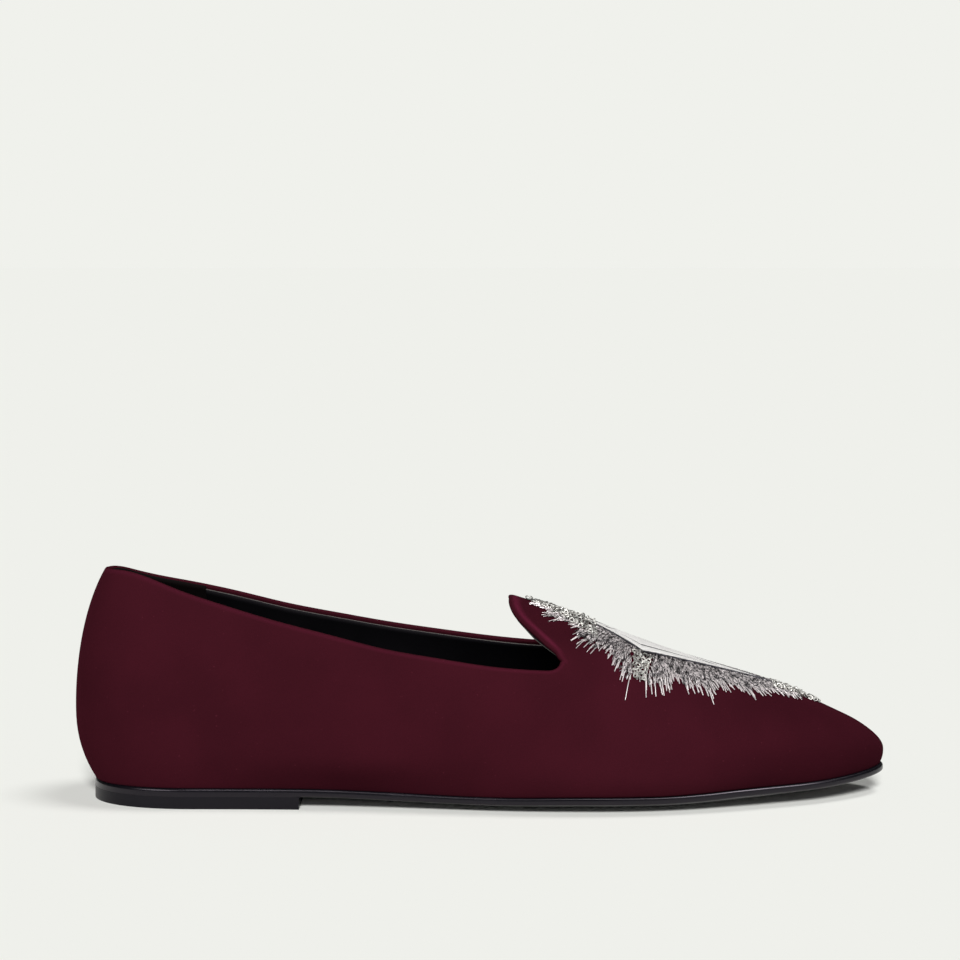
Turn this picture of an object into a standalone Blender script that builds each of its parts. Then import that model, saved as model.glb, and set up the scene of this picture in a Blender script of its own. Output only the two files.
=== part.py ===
"""Slipper loafer, one right shoe, standing on the floor with its toe along +X.

The upper is one hollow shell drawn from a last: ribs run from the feather line, where the
upper meets the sole, up to a spine over the instep. The sole, heel, insole and emblem are
all drawn from the same outline and the same ribs. Tables and sizes are in millimetres;
"along" counts from the back of the heel, lateral is -Y and medial is +Y.
"""

import bisect
import functools
import math

import bmesh
import bpy
import numpy as np

MM = 0.001
PART_NAME = "slipper_loafer"

# Overall sizes
LENGTH = 260.0
GAP = 0.3
WALL = 1.8
SOLE_THICKNESS = 2.6
INSOLE_THICKNESS = 2.0
HEEL_HEIGHT = 3.6
HEEL_SEAT = HEEL_HEIGHT + GAP
TOE_SPRING = 7.0
CROWN = 3.1

# Feather line: where it starts and ends, and how far its ends are rounded
FEATHER_BACK = 6.1
FEATHER_TIP = 259.2
HEEL_ROUND = 34.0
TOE_ROUND = 27.0
ROUND_POWER = 2.2

# The last: half widths of the feather line to each side of the spine, the spine's own swing
# to the medial side, how far the wall swells past the feather line on each side, the height
# of that swell, the height of the ridge over the spine and how full the section is (2 is round)
LAST_COLUMNS = (
    ("along", "lateral", "medial", "swing")
    + ("swell_lat", "swell_med", "swell_z", "ridge", "fullness")
)
LAST = (
    (6.0, 27.5, 27.5, 0.0, 6.1, 6.1, 29.0, 83.0, 2.0),
    (40.0, 27.5, 27.2, 0.0, 4.2, 4.2, 28.0, 84.0, 2.0),
    (72.0, 28.3, 25.6, 0.0, 3.8, 4.4, 27.0, 80.6, 2.0),
    (100.0, 30.6, 25.4, 0.0, 3.6, 4.6, 25.0, 75.0, 2.0),
    (130.0, 35.0, 29.8, 0.0, 3.8, 4.6, 22.0, 67.3, 2.0),
    (160.0, 38.3, 35.8, 0.0, 4.1, 4.2, 19.2, 57.6, 2.0),
    (182.0, 37.8, 38.0, 0.5, 4.0, 4.0, 17.4, 49.0, 2.0),
    (206.0, 33.8, 35.2, 2.0, 3.5, 3.5, 16.0, 41.0, 2.0),
    (230.0, 26.6, 27.4, 4.2, 2.4, 2.4, 14.8, 33.0, 2.1),
    (245.0, 20.4, 20.8, 5.3, 1.6, 1.6, 14.0, 26.3, 2.3),
    (260.0, 14.0, 14.0, 6.0, 1.0, 1.0, 13.6, 20.0, 2.4),
)
TUCK_POWER = 2.3

# Where the ribs end on the spine: fans at both ends, a backward lean under the tab
HEEL_FAN = 40.0
HEEL_FAN_SHORT = 0.0147
TOE_FAN = 215.0
TOE_FAN_SHORT = 0.0068
THROAT = 155.7
TAB_LEAN = 17.2
TAB_LEAN_REACH = 60.0
TAB_POWER = 6.0

# Collar: height of the topline on each side
COLLAR_COLUMNS = ("along", "lateral", "medial")
COLLAR = (
    (6.0, 73.6, 73.6),
    (20.0, 73.1, 70.3),
    (33.5, 68.7, 66.6),
    (50.0, 63.35, 63.0),
    (66.0, 58.7, 59.0),
    (83.0, 54.45, 55.7),
    (99.0, 50.55, 52.8),
    (115.5, 47.85, 50.2),
    (132.0, 45.55, 47.8),
    (148.0, 44.4, 46.2),
    (160.0, 44.1, 45.7),
)
THROAT_ROUND = 5.0
THROAT_LIFT = 3.2

# Sole outline and underside
SOLE_MARGIN = 0.9
SOLE_BACK = 6.0
SOLE_TIP = 260.2
WAIST_FROM = 71.0
WAIST_TO = 148.0
SPRING_FROM = 184.0
SPRING_POWER = 1.65
CROWN_FROM = (72.0, 165.0)
CROWN_TO = (206.0, 258.0)
CROWN_FLAT = 0.45
HEEL_BREAST = 73.0
EDGE_ROUND = 0.7
INSOLE_INSET = 2.7

# Emblem, as seen from above: a pointed lozenge on the vamp
EMBLEM_CENTRE = 181.0
EMBLEM_BACK = 37.0
EMBLEM_FRONT = 58.0
EMBLEM_SIDE = 34.0
EMBLEM_POWER = 1.25
EMBLEM_THICKNESS = 0.8
EMBLEM_RINGS = 6
EMBLEM_SPOKES = 48

# Rows of the upper's grid and ribs along each stretch of one side
ROWS_TUCK = 4
ROWS_COLLAR = 10
ROWS_RIDGE = 17
RIBS_HEEL = 10
RIBS_QUARTER = 16
RIBS_VAMP = 12
RIBS_TOE = 12
LATERAL = -1.0
MEDIAL = 1.0
SHARP_ANGLE = 40.0

COLOURS = {
    "upper": (0.047, 0.008, 0.013, 1.0),
    "sole": (0.023, 0.021, 0.025, 1.0),
    "insole": (0.006, 0.006, 0.008, 1.0),
    "emblem": (0.55, 0.54, 0.55, 1.0),
}


def clear_scene():
    """Remove every object that the scene starts with."""
    for ob in list(bpy.data.objects):
        bpy.data.objects.remove(ob, do_unlink=True)


def spline(xs, ys):
    """Natural cubic spline through the given points, carried on straight past both ends."""
    count = len(xs)
    step = [xs[i + 1] - xs[i] for i in range(count - 1)]
    rise = [(ys[i + 1] - ys[i]) / step[i] for i in range(count - 1)]
    matrix = np.eye(count)
    right = np.zeros(count)
    for i in range(1, count - 1):
        matrix[i, i - 1 : i + 2] = (step[i - 1], 2 * (step[i - 1] + step[i]), step[i])
        right[i] = 6 * (rise[i] - rise[i - 1])
    bend = np.linalg.solve(matrix, right).tolist()

    def at(x):
        inside = min(max(x, xs[0]), xs[-1])
        i = min(max(bisect.bisect_right(xs, inside) - 1, 0), count - 2)
        h = step[i]
        u = inside - xs[i]
        slope = rise[i] - h * (2 * bend[i] + bend[i + 1]) / 6
        cubic = (bend[i + 1] - bend[i]) / (6 * h)
        value = ys[i] + u * (slope + u * (bend[i] / 2 + u * cubic))
        end_slope = slope + u * (bend[i] + 3 * u * cubic)
        return value + (x - inside) * end_slope

    return at


def table_curves(columns, rows):
    """One spline per column of a table, over its first column."""
    values = list(zip(*rows))
    return {name: spline(values[0], values[i]) for i, name in enumerate(columns) if i}


LAST_AT = table_curves(LAST_COLUMNS, LAST)
COLLAR_AT = table_curves(COLLAR_COLUMNS, COLLAR)


def ease(u):
    """Smooth step from 0 to 1."""
    u = min(max(u, 0.0), 1.0)
    return u * u * (3 - 2 * u)


def end_round(distance, reach):
    """Share of the half width left at a distance from the rounded end of an outline."""
    left = 1 - min(max(distance / reach, 0.0), 1.0)
    return (1 - left**ROUND_POWER) ** (1 / ROUND_POWER)


def half_width(along, side, margin=0.0, back=FEATHER_BACK, tip=FEATHER_TIP):
    """Half width of an outline that stands a margin outside the feather line."""
    name = "lateral" if side < 0 else "medial"
    wide = LAST_AT[name](along) + margin
    return wide * end_round(along - back, HEEL_ROUND) * end_round(tip - along, TOE_ROUND)


def spine_end(along):
    """Where on the spine the rib from a point of the outline ends."""
    if along < HEEL_FAN:
        d = HEEL_FAN - along
        return HEEL_FAN - d + HEEL_FAN_SHORT * d * d
    if along > TOE_FAN:
        d = along - TOE_FAN
        return TOE_FAN + d - TOE_FAN_SHORT * d * d
    return along


def rib(along, side, margin=0.0, back=FEATHER_BACK, tip=FEATHER_TIP):
    """Plan ends of a rib: its point on the spine and its point on the outline."""
    inner = spine_end(along)
    root = np.array((inner, LAST_AT["swing"](inner)))
    half = half_width(along, side, margin, back, tip)
    edge = np.array((along, LAST_AT["swing"](along) + side * half))
    return root, edge


def keel(along):
    """Height of the sole's underside on its centre line."""
    waist = HEEL_SEAT * (1 - ease((along - WAIST_FROM) / (WAIST_TO - WAIST_FROM)))
    spring = max(along - SPRING_FROM, 0.0) / (LENGTH - SPRING_FROM)
    return waist + TOE_SPRING * spring**SPRING_POWER


def crown(along, share):
    """How far the underside curls up towards its edge, at a share of the half width."""
    start = ease((along - CROWN_FROM[0]) / (CROWN_FROM[1] - CROWN_FROM[0]))
    stop = ease((CROWN_TO[1] - along) / (CROWN_TO[1] - CROWN_TO[0]))
    curl = max(share - CROWN_FLAT, 0.0) / (1 - CROWN_FLAT)
    return CROWN * start * stop * curl * curl


def underside(along, share):
    """Height of the sole's underside."""
    return keel(along) + crown(along, share)


def feather_height(along):
    """Height of the upper's lower edge."""
    return underside(along, 1.0) + SOLE_THICKNESS + GAP


def wall_low(along, side, up):
    """Point of the tucked-in lower wall, up going from 0 at the feather line to 1 at the swell."""
    root, edge = rib(along, side)
    out = (edge - root) / np.linalg.norm(edge - root)
    swell = LAST_AT["swell_lat" if side < 0 else "swell_med"](along)
    low = feather_height(along)
    plan = edge + out * swell * (1 - (1 - up) ** TUCK_POWER)
    return (plan[0], plan[1], low + (LAST_AT["swell_z"](along) - low) * up)


def wall_high(along, side, angle):
    """Point of the upper wall, the angle going from 0 at the swell to 90 degrees on the spine."""
    root, edge = rib(along, side)
    out = (edge - root) / np.linalg.norm(edge - root)
    swell = LAST_AT["swell_lat" if side < 0 else "swell_med"](along)
    power = 2 / LAST_AT["fullness"](along)
    plan = root + (edge + out * swell - root) * max(math.cos(angle), 0.0) ** power
    low = LAST_AT["swell_z"](along)
    return (plan[0], plan[1], low + (LAST_AT["ridge"](plan[0]) - low) * math.sin(angle) ** power)


def collar_height(along, side):
    """Height of the topline, turning up into the throat."""
    height = COLLAR_AT["lateral" if side < 0 else "medial"](along)
    turn = min(max((along - THROAT + THROAT_ROUND) / THROAT_ROUND, 0.0), 1.0)
    return height + THROAT_LIFT * (1 - math.sqrt(1 - turn * turn))


@functools.lru_cache(maxsize=None)
def collar_angle(along, side):
    """Angle on a rib at which the wall reaches the collar."""
    low, high = 0.0, math.pi / 2
    for _ in range(40):
        angle = (low + high) / 2
        point = wall_high(along, side, angle)
        if point[2] < collar_height(min(point[0], THROAT), side):
            low = angle
        else:
            high = angle
    return low


THROAT_ANGLE = {side: collar_angle(THROAT, side) for side in (LATERAL, MEDIAL)}


def vamp_point(along, side, angle):
    """Point of the vamp on a rib that leans back so that the first rib is the tab's edge."""
    lean = TAB_LEAN * max(1 - (along - THROAT) / TAB_LEAN_REACH, 0.0) ** 2
    share = min(math.cos(angle) / math.cos(THROAT_ANGLE[side]), 1.0)
    return wall_high(along - lean * (1 - share**TAB_POWER), side, angle)


def upper_point(along, side, row):
    """Point of the upper's outside at a row of its grid."""
    if row <= ROWS_TUCK:
        return wall_low(along, side, (row / ROWS_TUCK) ** 1.5)
    if along < THROAT:
        top = collar_angle(along, side)
        return wall_high(along, side, top * (row - ROWS_TUCK) / (ROWS_COLLAR - ROWS_TUCK))
    even = (ROWS_COLLAR - ROWS_TUCK) / (ROWS_RIDGE - ROWS_TUCK) * math.pi / 2
    fade = ease((along - THROAT) / (FEATHER_TIP - THROAT))
    corner = THROAT_ANGLE[side] * (1 - fade) + even * fade
    if row <= ROWS_COLLAR:
        return vamp_point(along, side, corner * (row - ROWS_TUCK) / (ROWS_COLLAR - ROWS_TUCK))
    rest = (row - ROWS_COLLAR) / (ROWS_RIDGE - ROWS_COLLAR)
    return vamp_point(along, side, corner + (math.pi / 2 - corner) * rest)


def rib_places():
    """Where the ribs of one side stand, from the back of the heel to the toe's tip."""
    heel = [
        HEEL_FAN - (HEEL_FAN - FEATHER_BACK) * math.cos(math.pi / 2 * i / RIBS_HEEL)
        for i in range(RIBS_HEEL)
    ]
    quarter = [
        HEEL_FAN + (THROAT - HEEL_FAN) * math.sin(math.pi / 2 * i / RIBS_QUARTER) ** 0.85
        for i in range(RIBS_QUARTER)
    ]
    vamp = [THROAT + (TOE_FAN - THROAT) * i / RIBS_VAMP for i in range(RIBS_VAMP)]
    toe = [
        TOE_FAN + (FEATHER_TIP - TOE_FAN) * math.sin(math.pi / 2 * i / RIBS_TOE)
        for i in range(RIBS_TOE + 1)
    ]
    return heel + quarter + vamp + toe


def loop_places():
    """Ribs right round the shoe: from the toe down the lateral side and back up the medial."""
    places = rib_places()
    lateral = [(along, LATERAL) for along in reversed(places)]
    return lateral + [(along, MEDIAL) for along in places[1:]]


def new_object(name, bm, origin, material):
    """Turn a bmesh in millimetres into a named object in metres, placed from the heel's back."""
    bmesh.ops.scale(bm, vec=(MM, MM, MM), verts=bm.verts)
    bmesh.ops.recalc_face_normals(bm, faces=bm.faces)
    mesh = bpy.data.meshes.new(name)
    bm.to_mesh(mesh)
    bm.free()
    mesh.materials.append(material)
    mesh.shade_smooth()
    mesh.set_sharp_from_angle(angle=math.radians(SHARP_ANGLE))
    ob = bpy.data.objects.new(name, mesh)
    ob.parent = origin
    origin.users_collection[0].objects.link(ob)
    return ob


def mapped_grid(columns, rows, place, keep=None):
    """Grid of the given size with every corner moved to place(column, row), welded at seams."""
    bm = bmesh.new()
    bmesh.ops.create_grid(bm, x_segments=columns - 1, y_segments=rows - 1, size=1.0)
    dropped = []
    for vert in bm.verts:
        column = round((vert.co.x + 1) / 2 * (columns - 1))
        row = round((vert.co.y + 1) / 2 * (rows - 1))
        if keep is not None and not keep(column, row):
            dropped.append(vert)
        else:
            vert.co = place(column, row)
    bmesh.ops.delete(bm, geom=dropped, context="VERTS")
    bmesh.ops.remove_doubles(bm, verts=bm.verts, dist=0.001)
    return bm


def solidify(ob, thickness, offset):
    """Give a surface a wall."""
    mod = ob.modifiers.new("wall", "SOLIDIFY")
    mod.thickness = thickness * MM
    mod.offset = offset
    mod.use_even_offset = True


def bevel(ob, width, segments):
    """Round the sharp edges of a solid."""
    mod = ob.modifiers.new("edge", "BEVEL")
    mod.width = width * MM
    mod.segments = segments
    mod.limit_method = "ANGLE"
    mod.angle_limit = math.radians(50)


def build_upper(origin, material):
    """Hollow upper, open at the collar and underneath."""
    loop = loop_places()

    def place(column, row):
        along, side = loop[column]
        return upper_point(along, side, row)

    def keep(column, row):
        return row <= ROWS_COLLAR or loop[column][0] >= THROAT

    bm = mapped_grid(len(loop), ROWS_RIDGE + 1, place, keep)
    ob = new_object("upper", bm, origin, material)
    solidify(ob, WALL, -1.0)
    return ob


def plate(shares, margin, back, tip, height, thickness):
    """Solid plate over the ribs of an outline, its underside given by height(along, share)."""
    loop = loop_places()
    stretch = (tip - back) / (FEATHER_TIP - FEATHER_BACK)

    def place(column, row):
        along, side = loop[column]
        along = back + (along - FEATHER_BACK) * stretch
        root, edge = rib(along, side, margin, back, tip)
        plan = root + (edge - root) * shares[row]
        return (plan[0], plan[1], height(plan[0], shares[row]))

    bm = mapped_grid(len(loop), len(shares), place)
    grown = bmesh.ops.extrude_face_region(bm, geom=list(bm.faces))["geom"]
    verts = [item for item in grown if isinstance(item, bmesh.types.BMVert)]
    bmesh.ops.translate(bm, vec=(0, 0, thickness), verts=verts)
    return bm


def build_outsole(origin, material):
    """Thin sole with toe spring, crowned forefoot and rising waist."""
    shares = (1.0, 0.85, 0.7, CROWN_FLAT, 0.0)
    bm = plate(shares, SOLE_MARGIN, SOLE_BACK, SOLE_TIP, underside, SOLE_THICKNESS)
    ob = new_object("outsole", bm, origin, material)
    bevel(ob, EDGE_ROUND, 2)
    return ob


def build_insole(origin, material):
    """Sock board on the outsole, just clear of the upper's inside."""

    def height(along, share):
        return underside(along, share) + SOLE_THICKNESS + GAP

    shares = (1.0, 0.7, CROWN_FLAT, 0.0)
    back = FEATHER_BACK + INSOLE_INSET
    tip = FEATHER_TIP - INSOLE_INSET
    bm = plate(shares, -INSOLE_INSET, back, tip, height, INSOLE_THICKNESS)
    return new_object("insole", bm, origin, material)


def build_heel(origin, material):
    """Low heel block under the seat, with a straight breast."""
    shift = SOLE_BACK - FEATHER_BACK
    places = [along + shift for along in rib_places() if along < HEEL_BREAST] + [HEEL_BREAST]

    def place(column, row):
        along = places[column]
        side = LATERAL if row == 0 else MEDIAL
        half = half_width(along, side, SOLE_MARGIN, SOLE_BACK, SOLE_TIP)
        return (along, LAST_AT["swing"](along) + side * half, 0.0)

    bm = mapped_grid(len(places), 2, place)
    grown = bmesh.ops.extrude_face_region(bm, geom=list(bm.faces))["geom"]
    verts = [item for item in grown if isinstance(item, bmesh.types.BMVert)]
    bmesh.ops.translate(bm, vec=(0, 0, HEEL_HEIGHT), verts=verts)
    ob = new_object("heel", bm, origin, material)
    bevel(ob, EDGE_ROUND, 2)
    return ob


def vamp_over(along, across):
    """Point of the vamp's outside above a plan position, by finding the rib that passes there."""
    side = MEDIAL if across > LAST_AT["swing"](along) else LATERAL
    low, high = along, FEATHER_TIP
    share = 0.0
    for _ in range(40):
        middle = (low + high) / 2
        root, edge = rib(middle, side)
        out = (edge - root) / np.linalg.norm(edge - root)
        reach = edge + out * LAST_AT["swell_lat" if side < 0 else "swell_med"](middle) - root
        share = min(max((across - root[1]) / reach[1], 0.0), 1.0)
        if root[0] + reach[0] * share < along:
            low = middle
        else:
            high = middle
    return np.array(wall_high(low, side, math.acos(share ** (LAST_AT["fullness"](low) / 2))))


def vamp_normal(along, across):
    """Outward normal of the vamp above a plan position."""
    step = 0.4
    ahead = vamp_over(along + step, across) - vamp_over(along - step, across)
    aside = vamp_over(along, across + step) - vamp_over(along, across - step)
    normal = np.cross(ahead, aside)
    return normal / np.linalg.norm(normal)


def emblem_reach(turn):
    """Plan distance from the emblem's middle to its outline, at a turn from the toe's direction."""
    ahead = EMBLEM_FRONT if math.cos(turn) > 0 else EMBLEM_BACK
    along = abs(math.cos(turn) / ahead) ** EMBLEM_POWER
    across = abs(math.sin(turn) / EMBLEM_SIDE) ** EMBLEM_POWER
    return (along + across) ** (-1 / EMBLEM_POWER)


def build_emblem(origin, material):
    """Raised embroidered burst, a thin solid that follows the vamp."""

    def place(column, row):
        turn = 2 * math.pi * column / EMBLEM_SPOKES
        reach = emblem_reach(turn) * row / EMBLEM_RINGS
        along = EMBLEM_CENTRE + reach * math.cos(turn)
        across = LAST_AT["swing"](along) + reach * math.sin(turn)
        return vamp_over(along, across) + GAP * vamp_normal(along, across)

    bm = mapped_grid(EMBLEM_SPOKES + 1, EMBLEM_RINGS + 1, place)
    ob = new_object("emblem", bm, origin, material)
    solidify(ob, EMBLEM_THICKNESS, 1.0)
    return ob


def new_material(name, colour, roughness):
    """Plain material for one kind of surface."""
    material = bpy.data.materials.new(name)
    material.use_nodes = True
    shader = material.node_tree.nodes["Principled BSDF"]
    shader.inputs["Base Color"].default_value = colour
    shader.inputs["Roughness"].default_value = roughness
    return material


def main():
    """Build the shoe's five pieces."""
    clear_scene()
    collection = bpy.data.collections.new(PART_NAME)
    bpy.context.scene.collection.children.link(collection)
    origin = bpy.data.objects.new("heel_back", None)
    origin.location = (-LENGTH / 2 * MM, 0, 0)
    collection.objects.link(origin)
    build_outsole(origin, new_material("sole_leather", COLOURS["sole"], 0.4))
    build_heel(origin, new_material("heel_rubber", COLOURS["sole"], 0.5))
    build_upper(origin, new_material("upper_fabric", COLOURS["upper"], 0.9))
    build_insole(origin, new_material("insole_leather", COLOURS["insole"], 0.6))
    build_emblem(origin, new_material("emblem_thread", COLOURS["emblem"], 0.5))
    bpy.context.view_layer.update()


main()
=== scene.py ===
"""Looks of one right slipper loafer in burgundy suede with a silver embroidered vamp.

Every piece is drawn from the same last as the solids, on a finer grid. The last works in
millimetres, with "along" counted from the back of the heel, lateral at -Y and medial at +Y;
each mesh is turned to metres when it becomes an object.
"""

import logging
import math
from collections.abc import Callable, Sequence
from dataclasses import dataclass, field
from enum import Enum
from functools import partial
from itertools import product

import bmesh
import bpy
import numpy as np
from bmesh.types import BMEdge, BMesh, BMVert
from bpy.types import Material, Node, NodeSocket, NodeTree, Object
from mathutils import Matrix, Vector
from mathutils.kdtree import KDTree


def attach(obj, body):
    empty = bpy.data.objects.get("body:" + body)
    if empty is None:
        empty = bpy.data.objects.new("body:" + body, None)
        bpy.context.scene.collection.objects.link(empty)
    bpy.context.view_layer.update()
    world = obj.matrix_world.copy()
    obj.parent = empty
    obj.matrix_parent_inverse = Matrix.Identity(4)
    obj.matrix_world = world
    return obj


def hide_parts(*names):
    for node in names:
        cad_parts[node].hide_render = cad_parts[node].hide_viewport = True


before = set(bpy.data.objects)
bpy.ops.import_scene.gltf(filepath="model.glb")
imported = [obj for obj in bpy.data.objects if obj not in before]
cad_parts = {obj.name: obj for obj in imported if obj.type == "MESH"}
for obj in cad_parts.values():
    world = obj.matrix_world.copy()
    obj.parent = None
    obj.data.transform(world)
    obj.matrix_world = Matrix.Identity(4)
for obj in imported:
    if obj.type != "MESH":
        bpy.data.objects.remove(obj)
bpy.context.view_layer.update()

LOG = logging.getLogger("slipper_loafer")
MM = 0.001
SEED = 7
# The photograph's width and height, in pixels
PHOTO_PX = 960
# Corners closer than this are welded, in millimetres
WELD = 0.001
# Edges that turn further than this are rounded, in radians
CORNER = 0.9
# Edges that turn further than this are shaded sharp, in degrees
SHARP_SHELL, SHARP_PLATE, SHARP_ROLL, NEVER_SHARP = 45.0, 60.0, 80.0, 180.0
# How often a search halves its stretch
HALVINGS = 40
# Share of the star's half width where its outer row of stitches meets the inner one
STAR_ROW = 0.6

Table = tuple[tuple[float, ...], ...]
Curve = Callable[[np.ndarray], np.ndarray]
GridRule = Callable[[np.ndarray, np.ndarray], np.ndarray]
EdgeTest = Callable[[BMEdge], bool]
NodeMaker = Callable[..., Node]
Profile = Callable[[Vector], Sequence[tuple[float, float]]]


class Side(Enum):
    """The two sides of a right shoe, as signs of Y."""

    LATERAL = -1.0
    MEDIAL = 1.0


class Reach(Enum):
    """What a lamp shows on: the shoe, its matt or glossy side alone, or the floor."""

    SHOE = "shoe"
    MATT = "matt"
    GLOSSY = "glossy"
    FLOOR = "floor"


class Slot(Enum):
    """Material slots of the record."""

    UPPER = "upper_fabric"
    SOLE = "sole_leather"
    HEEL = "heel_rubber"
    INSOLE = "insole_leather"
    EMBLEM = "emblem_thread"


def linear(colour: str) -> tuple[float, float, float, float]:
    """Turns an sRGB hex colour into linear RGBA.

    Args:
        colour: Six hex digits.

    Returns:
        The colour as Blender's sockets hold it.
    """
    values = [int(colour[i : i + 2], 16) / 255 for i in (0, 2, 4)]
    red, green, blue = (v / 12.92 if v <= 0.04045 else ((v + 0.055) / 1.055) ** 2.4 for v in values)
    return (red, green, blue, 1.0)


def per_metre(size_mm: float) -> float:
    """How often a pattern of a real size in millimetres repeats in a metre."""
    return 1 / (size_mm * MM)


def set_inputs(node: Node, inputs: dict) -> None:
    """Sets or links the inputs of a node.

    Args:
        node: The node.
        inputs: Input name or number to a value, or to the socket that is linked there.
    """
    for key, value in inputs.items():
        if isinstance(value, NodeSocket):
            node.id_data.links.new(value, node.inputs[key])
        else:
            node.inputs[key].default_value = value


def add_node(tree: NodeTree, kind: str, inputs: dict | None = None, **settings: object) -> Node:
    """Adds a node with its settings and links.

    Args:
        tree: The tree that gets the node.
        kind: Blender's name of the shader node type, without the start that all share.
        inputs: What set_inputs takes.
        settings: Properties of the node itself.

    Returns:
        The new node.
    """
    node = tree.nodes.new(f"ShaderNode{kind}")
    for name, value in settings.items():
        setattr(node, name, value)
    set_inputs(node, inputs or {})
    return node


def new_tree(name: str) -> tuple[Material, NodeMaker, Node]:
    """Starts a material.

    Args:
        name: The material's name.

    Returns:
        The material, add_node for its tree, and its shader.
    """
    material = bpy.data.materials.new(name)
    material.use_nodes = True
    material.node_tree.nodes.clear()
    node = partial(add_node, material.node_tree)
    shader = node("BsdfPrincipled")
    node("OutputMaterial", {"Surface": shader.outputs["BSDF"]})
    return material, node, shader


def smooth_curve(xs: Sequence[float], ys: Sequence[float]) -> Curve:
    """Natural cubic spline through points, carried on straight past both ends.

    Args:
        xs: Places of the points, rising.
        ys: Values at those places.

    Returns:
        A function of an array of places.
    """
    x, y = np.asarray(xs, float), np.asarray(ys, float)
    step = np.diff(x)
    rise = np.diff(y) / step
    matrix = np.eye(len(x))
    right = np.zeros(len(x))
    for i in range(1, len(x) - 1):
        matrix[i, i - 1 : i + 2] = (step[i - 1], 2 * (step[i - 1] + step[i]), step[i])
        right[i] = 6 * (rise[i] - rise[i - 1])
    bend = np.linalg.solve(matrix, right)

    def at(places: np.ndarray) -> np.ndarray:
        """Value of the spline at each place.

        Args:
            places: An array of places.

        Returns:
            The values.
        """
        inside = np.clip(places, x[0], x[-1])
        i = np.clip(np.searchsorted(x, inside, side="right") - 1, 0, len(x) - 2)
        u = inside - x[i]
        slope = rise[i] - step[i] * (2 * bend[i] + bend[i + 1]) / 6
        cubic = (bend[i + 1] - bend[i]) / (6 * step[i])
        value = y[i] + u * (slope + u * (bend[i] / 2 + u * cubic))
        return value + (places - inside) * (slope + u * (bend[i] + 3 * u * cubic))

    return at


def ease(u: np.ndarray) -> np.ndarray:
    """Smooth step from 0 to 1."""
    u = np.clip(u, 0.0, 1.0)
    return u * u * (3 - 2 * u)


def unit(vectors: np.ndarray) -> np.ndarray:
    """Vectors at length one."""
    return vectors / np.maximum(np.linalg.norm(vectors, axis=-1, keepdims=True), 1e-9)


def last_place(low: np.ndarray, high: np.ndarray, holds: Curve) -> np.ndarray:
    """Finds by halving where a test stops holding.

    Args:
        low: Places where it holds.
        high: Places past those where it stops.
        holds: The test, for an array of places.

    Returns:
        The last places where it holds.
    """
    for _ in range(HALVINGS):
        middle = (low + high) / 2
        inside = holds(middle)
        low, high = np.where(inside, middle, low), np.where(inside, high, middle)
    return low


def numbered_grid(columns: int, rows: int) -> tuple[BMesh, np.ndarray, np.ndarray]:
    """Flat grid with numbered corners.

    Args:
        columns: Corners along the grid's first direction.
        rows: Corners along its second.

    Returns:
        The grid, and the column and the row of each of its corners.
    """
    bm = bmesh.new()
    bmesh.ops.create_grid(bm, x_segments=columns - 1, y_segments=rows - 1, size=1.0)
    flat = (np.array([vert.co for vert in bm.verts])[:, :2] + 1) / 2
    column, row = np.rint(flat * (columns - 1, rows - 1)).astype(int).T
    return bm, column, row


def mapped_grid(columns: int, rows: int, place: GridRule, keep: GridRule | None = None) -> BMesh:
    """Grid whose corners are moved onto a surface and welded where they meet.

    Args:
        columns: Corners along the grid's first direction.
        rows: Corners along its second.
        place: Points for arrays of columns and rows, in millimetres.
        keep: Which corners stay; the others are deleted.

    Returns:
        The new bmesh.
    """
    bm, column, row = numbered_grid(columns, rows)
    for vert, point in zip(bm.verts, place(column, row)):
        vert.co = point
    if keep is not None:
        stays = keep(column, row)
        dropped = [vert for vert, stay in zip(bm.verts, stays) if not stay]
        bmesh.ops.delete(bm, geom=dropped, context="VERTS")
    bmesh.ops.remove_doubles(bm, verts=bm.verts, dist=WELD)
    bmesh.ops.recalc_face_normals(bm, faces=bm.faces)
    bm.normal_update()
    return bm


def turn_edge(bm: BMesh, edges: list[BMEdge], profile: Profile) -> None:
    """Carries a border on along a profile, such as a rolled hem.

    Args:
        bm: The mesh, with its normals up to date.
        edges: The border's edges.
        profile: Steps from a point of the border: how far on past it, and how far inwards.
    """
    border = set(edges)
    steps = len(profile(edges[0].verts[0].co))
    frames: dict[BMVert, tuple[Vector, Vector, Vector]] = {}
    for vert in {v for edge in edges for v in edge.verts}:
        ends = [edge.other_vert(vert).co for edge in vert.link_edges if edge in border]
        tangent = (ends[0] - ends[-1]).normalized()
        middle = sum((face.calc_center_median() for face in vert.link_faces), Vector())
        away = vert.co - middle / len(vert.link_faces)
        away -= tangent * away.dot(tangent)
        away -= vert.normal * away.dot(vert.normal)
        frames[vert] = (vert.co.copy(), away.normalized(), vert.normal.copy())
    for step in range(steps):
        grown = bmesh.ops.extrude_edge_only(bm, edges=edges)["geom"]
        carried = {}
        for vert in (item for item in grown if isinstance(item, BMVert)):
            near = (edge.other_vert(vert) for edge in vert.link_edges)
            start, away, normal = next(frames[other] for other in near if other in frames)
            onwards, inwards = profile(start)[step]
            vert.co = start + away * onwards - normal * inwards
            carried[vert] = (start, away, normal)
        frames = carried
        edges = [item for item in grown if isinstance(item, BMEdge)]
        edges = [edge for edge in edges if all(vert in carried for vert in edge.verts)]


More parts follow.
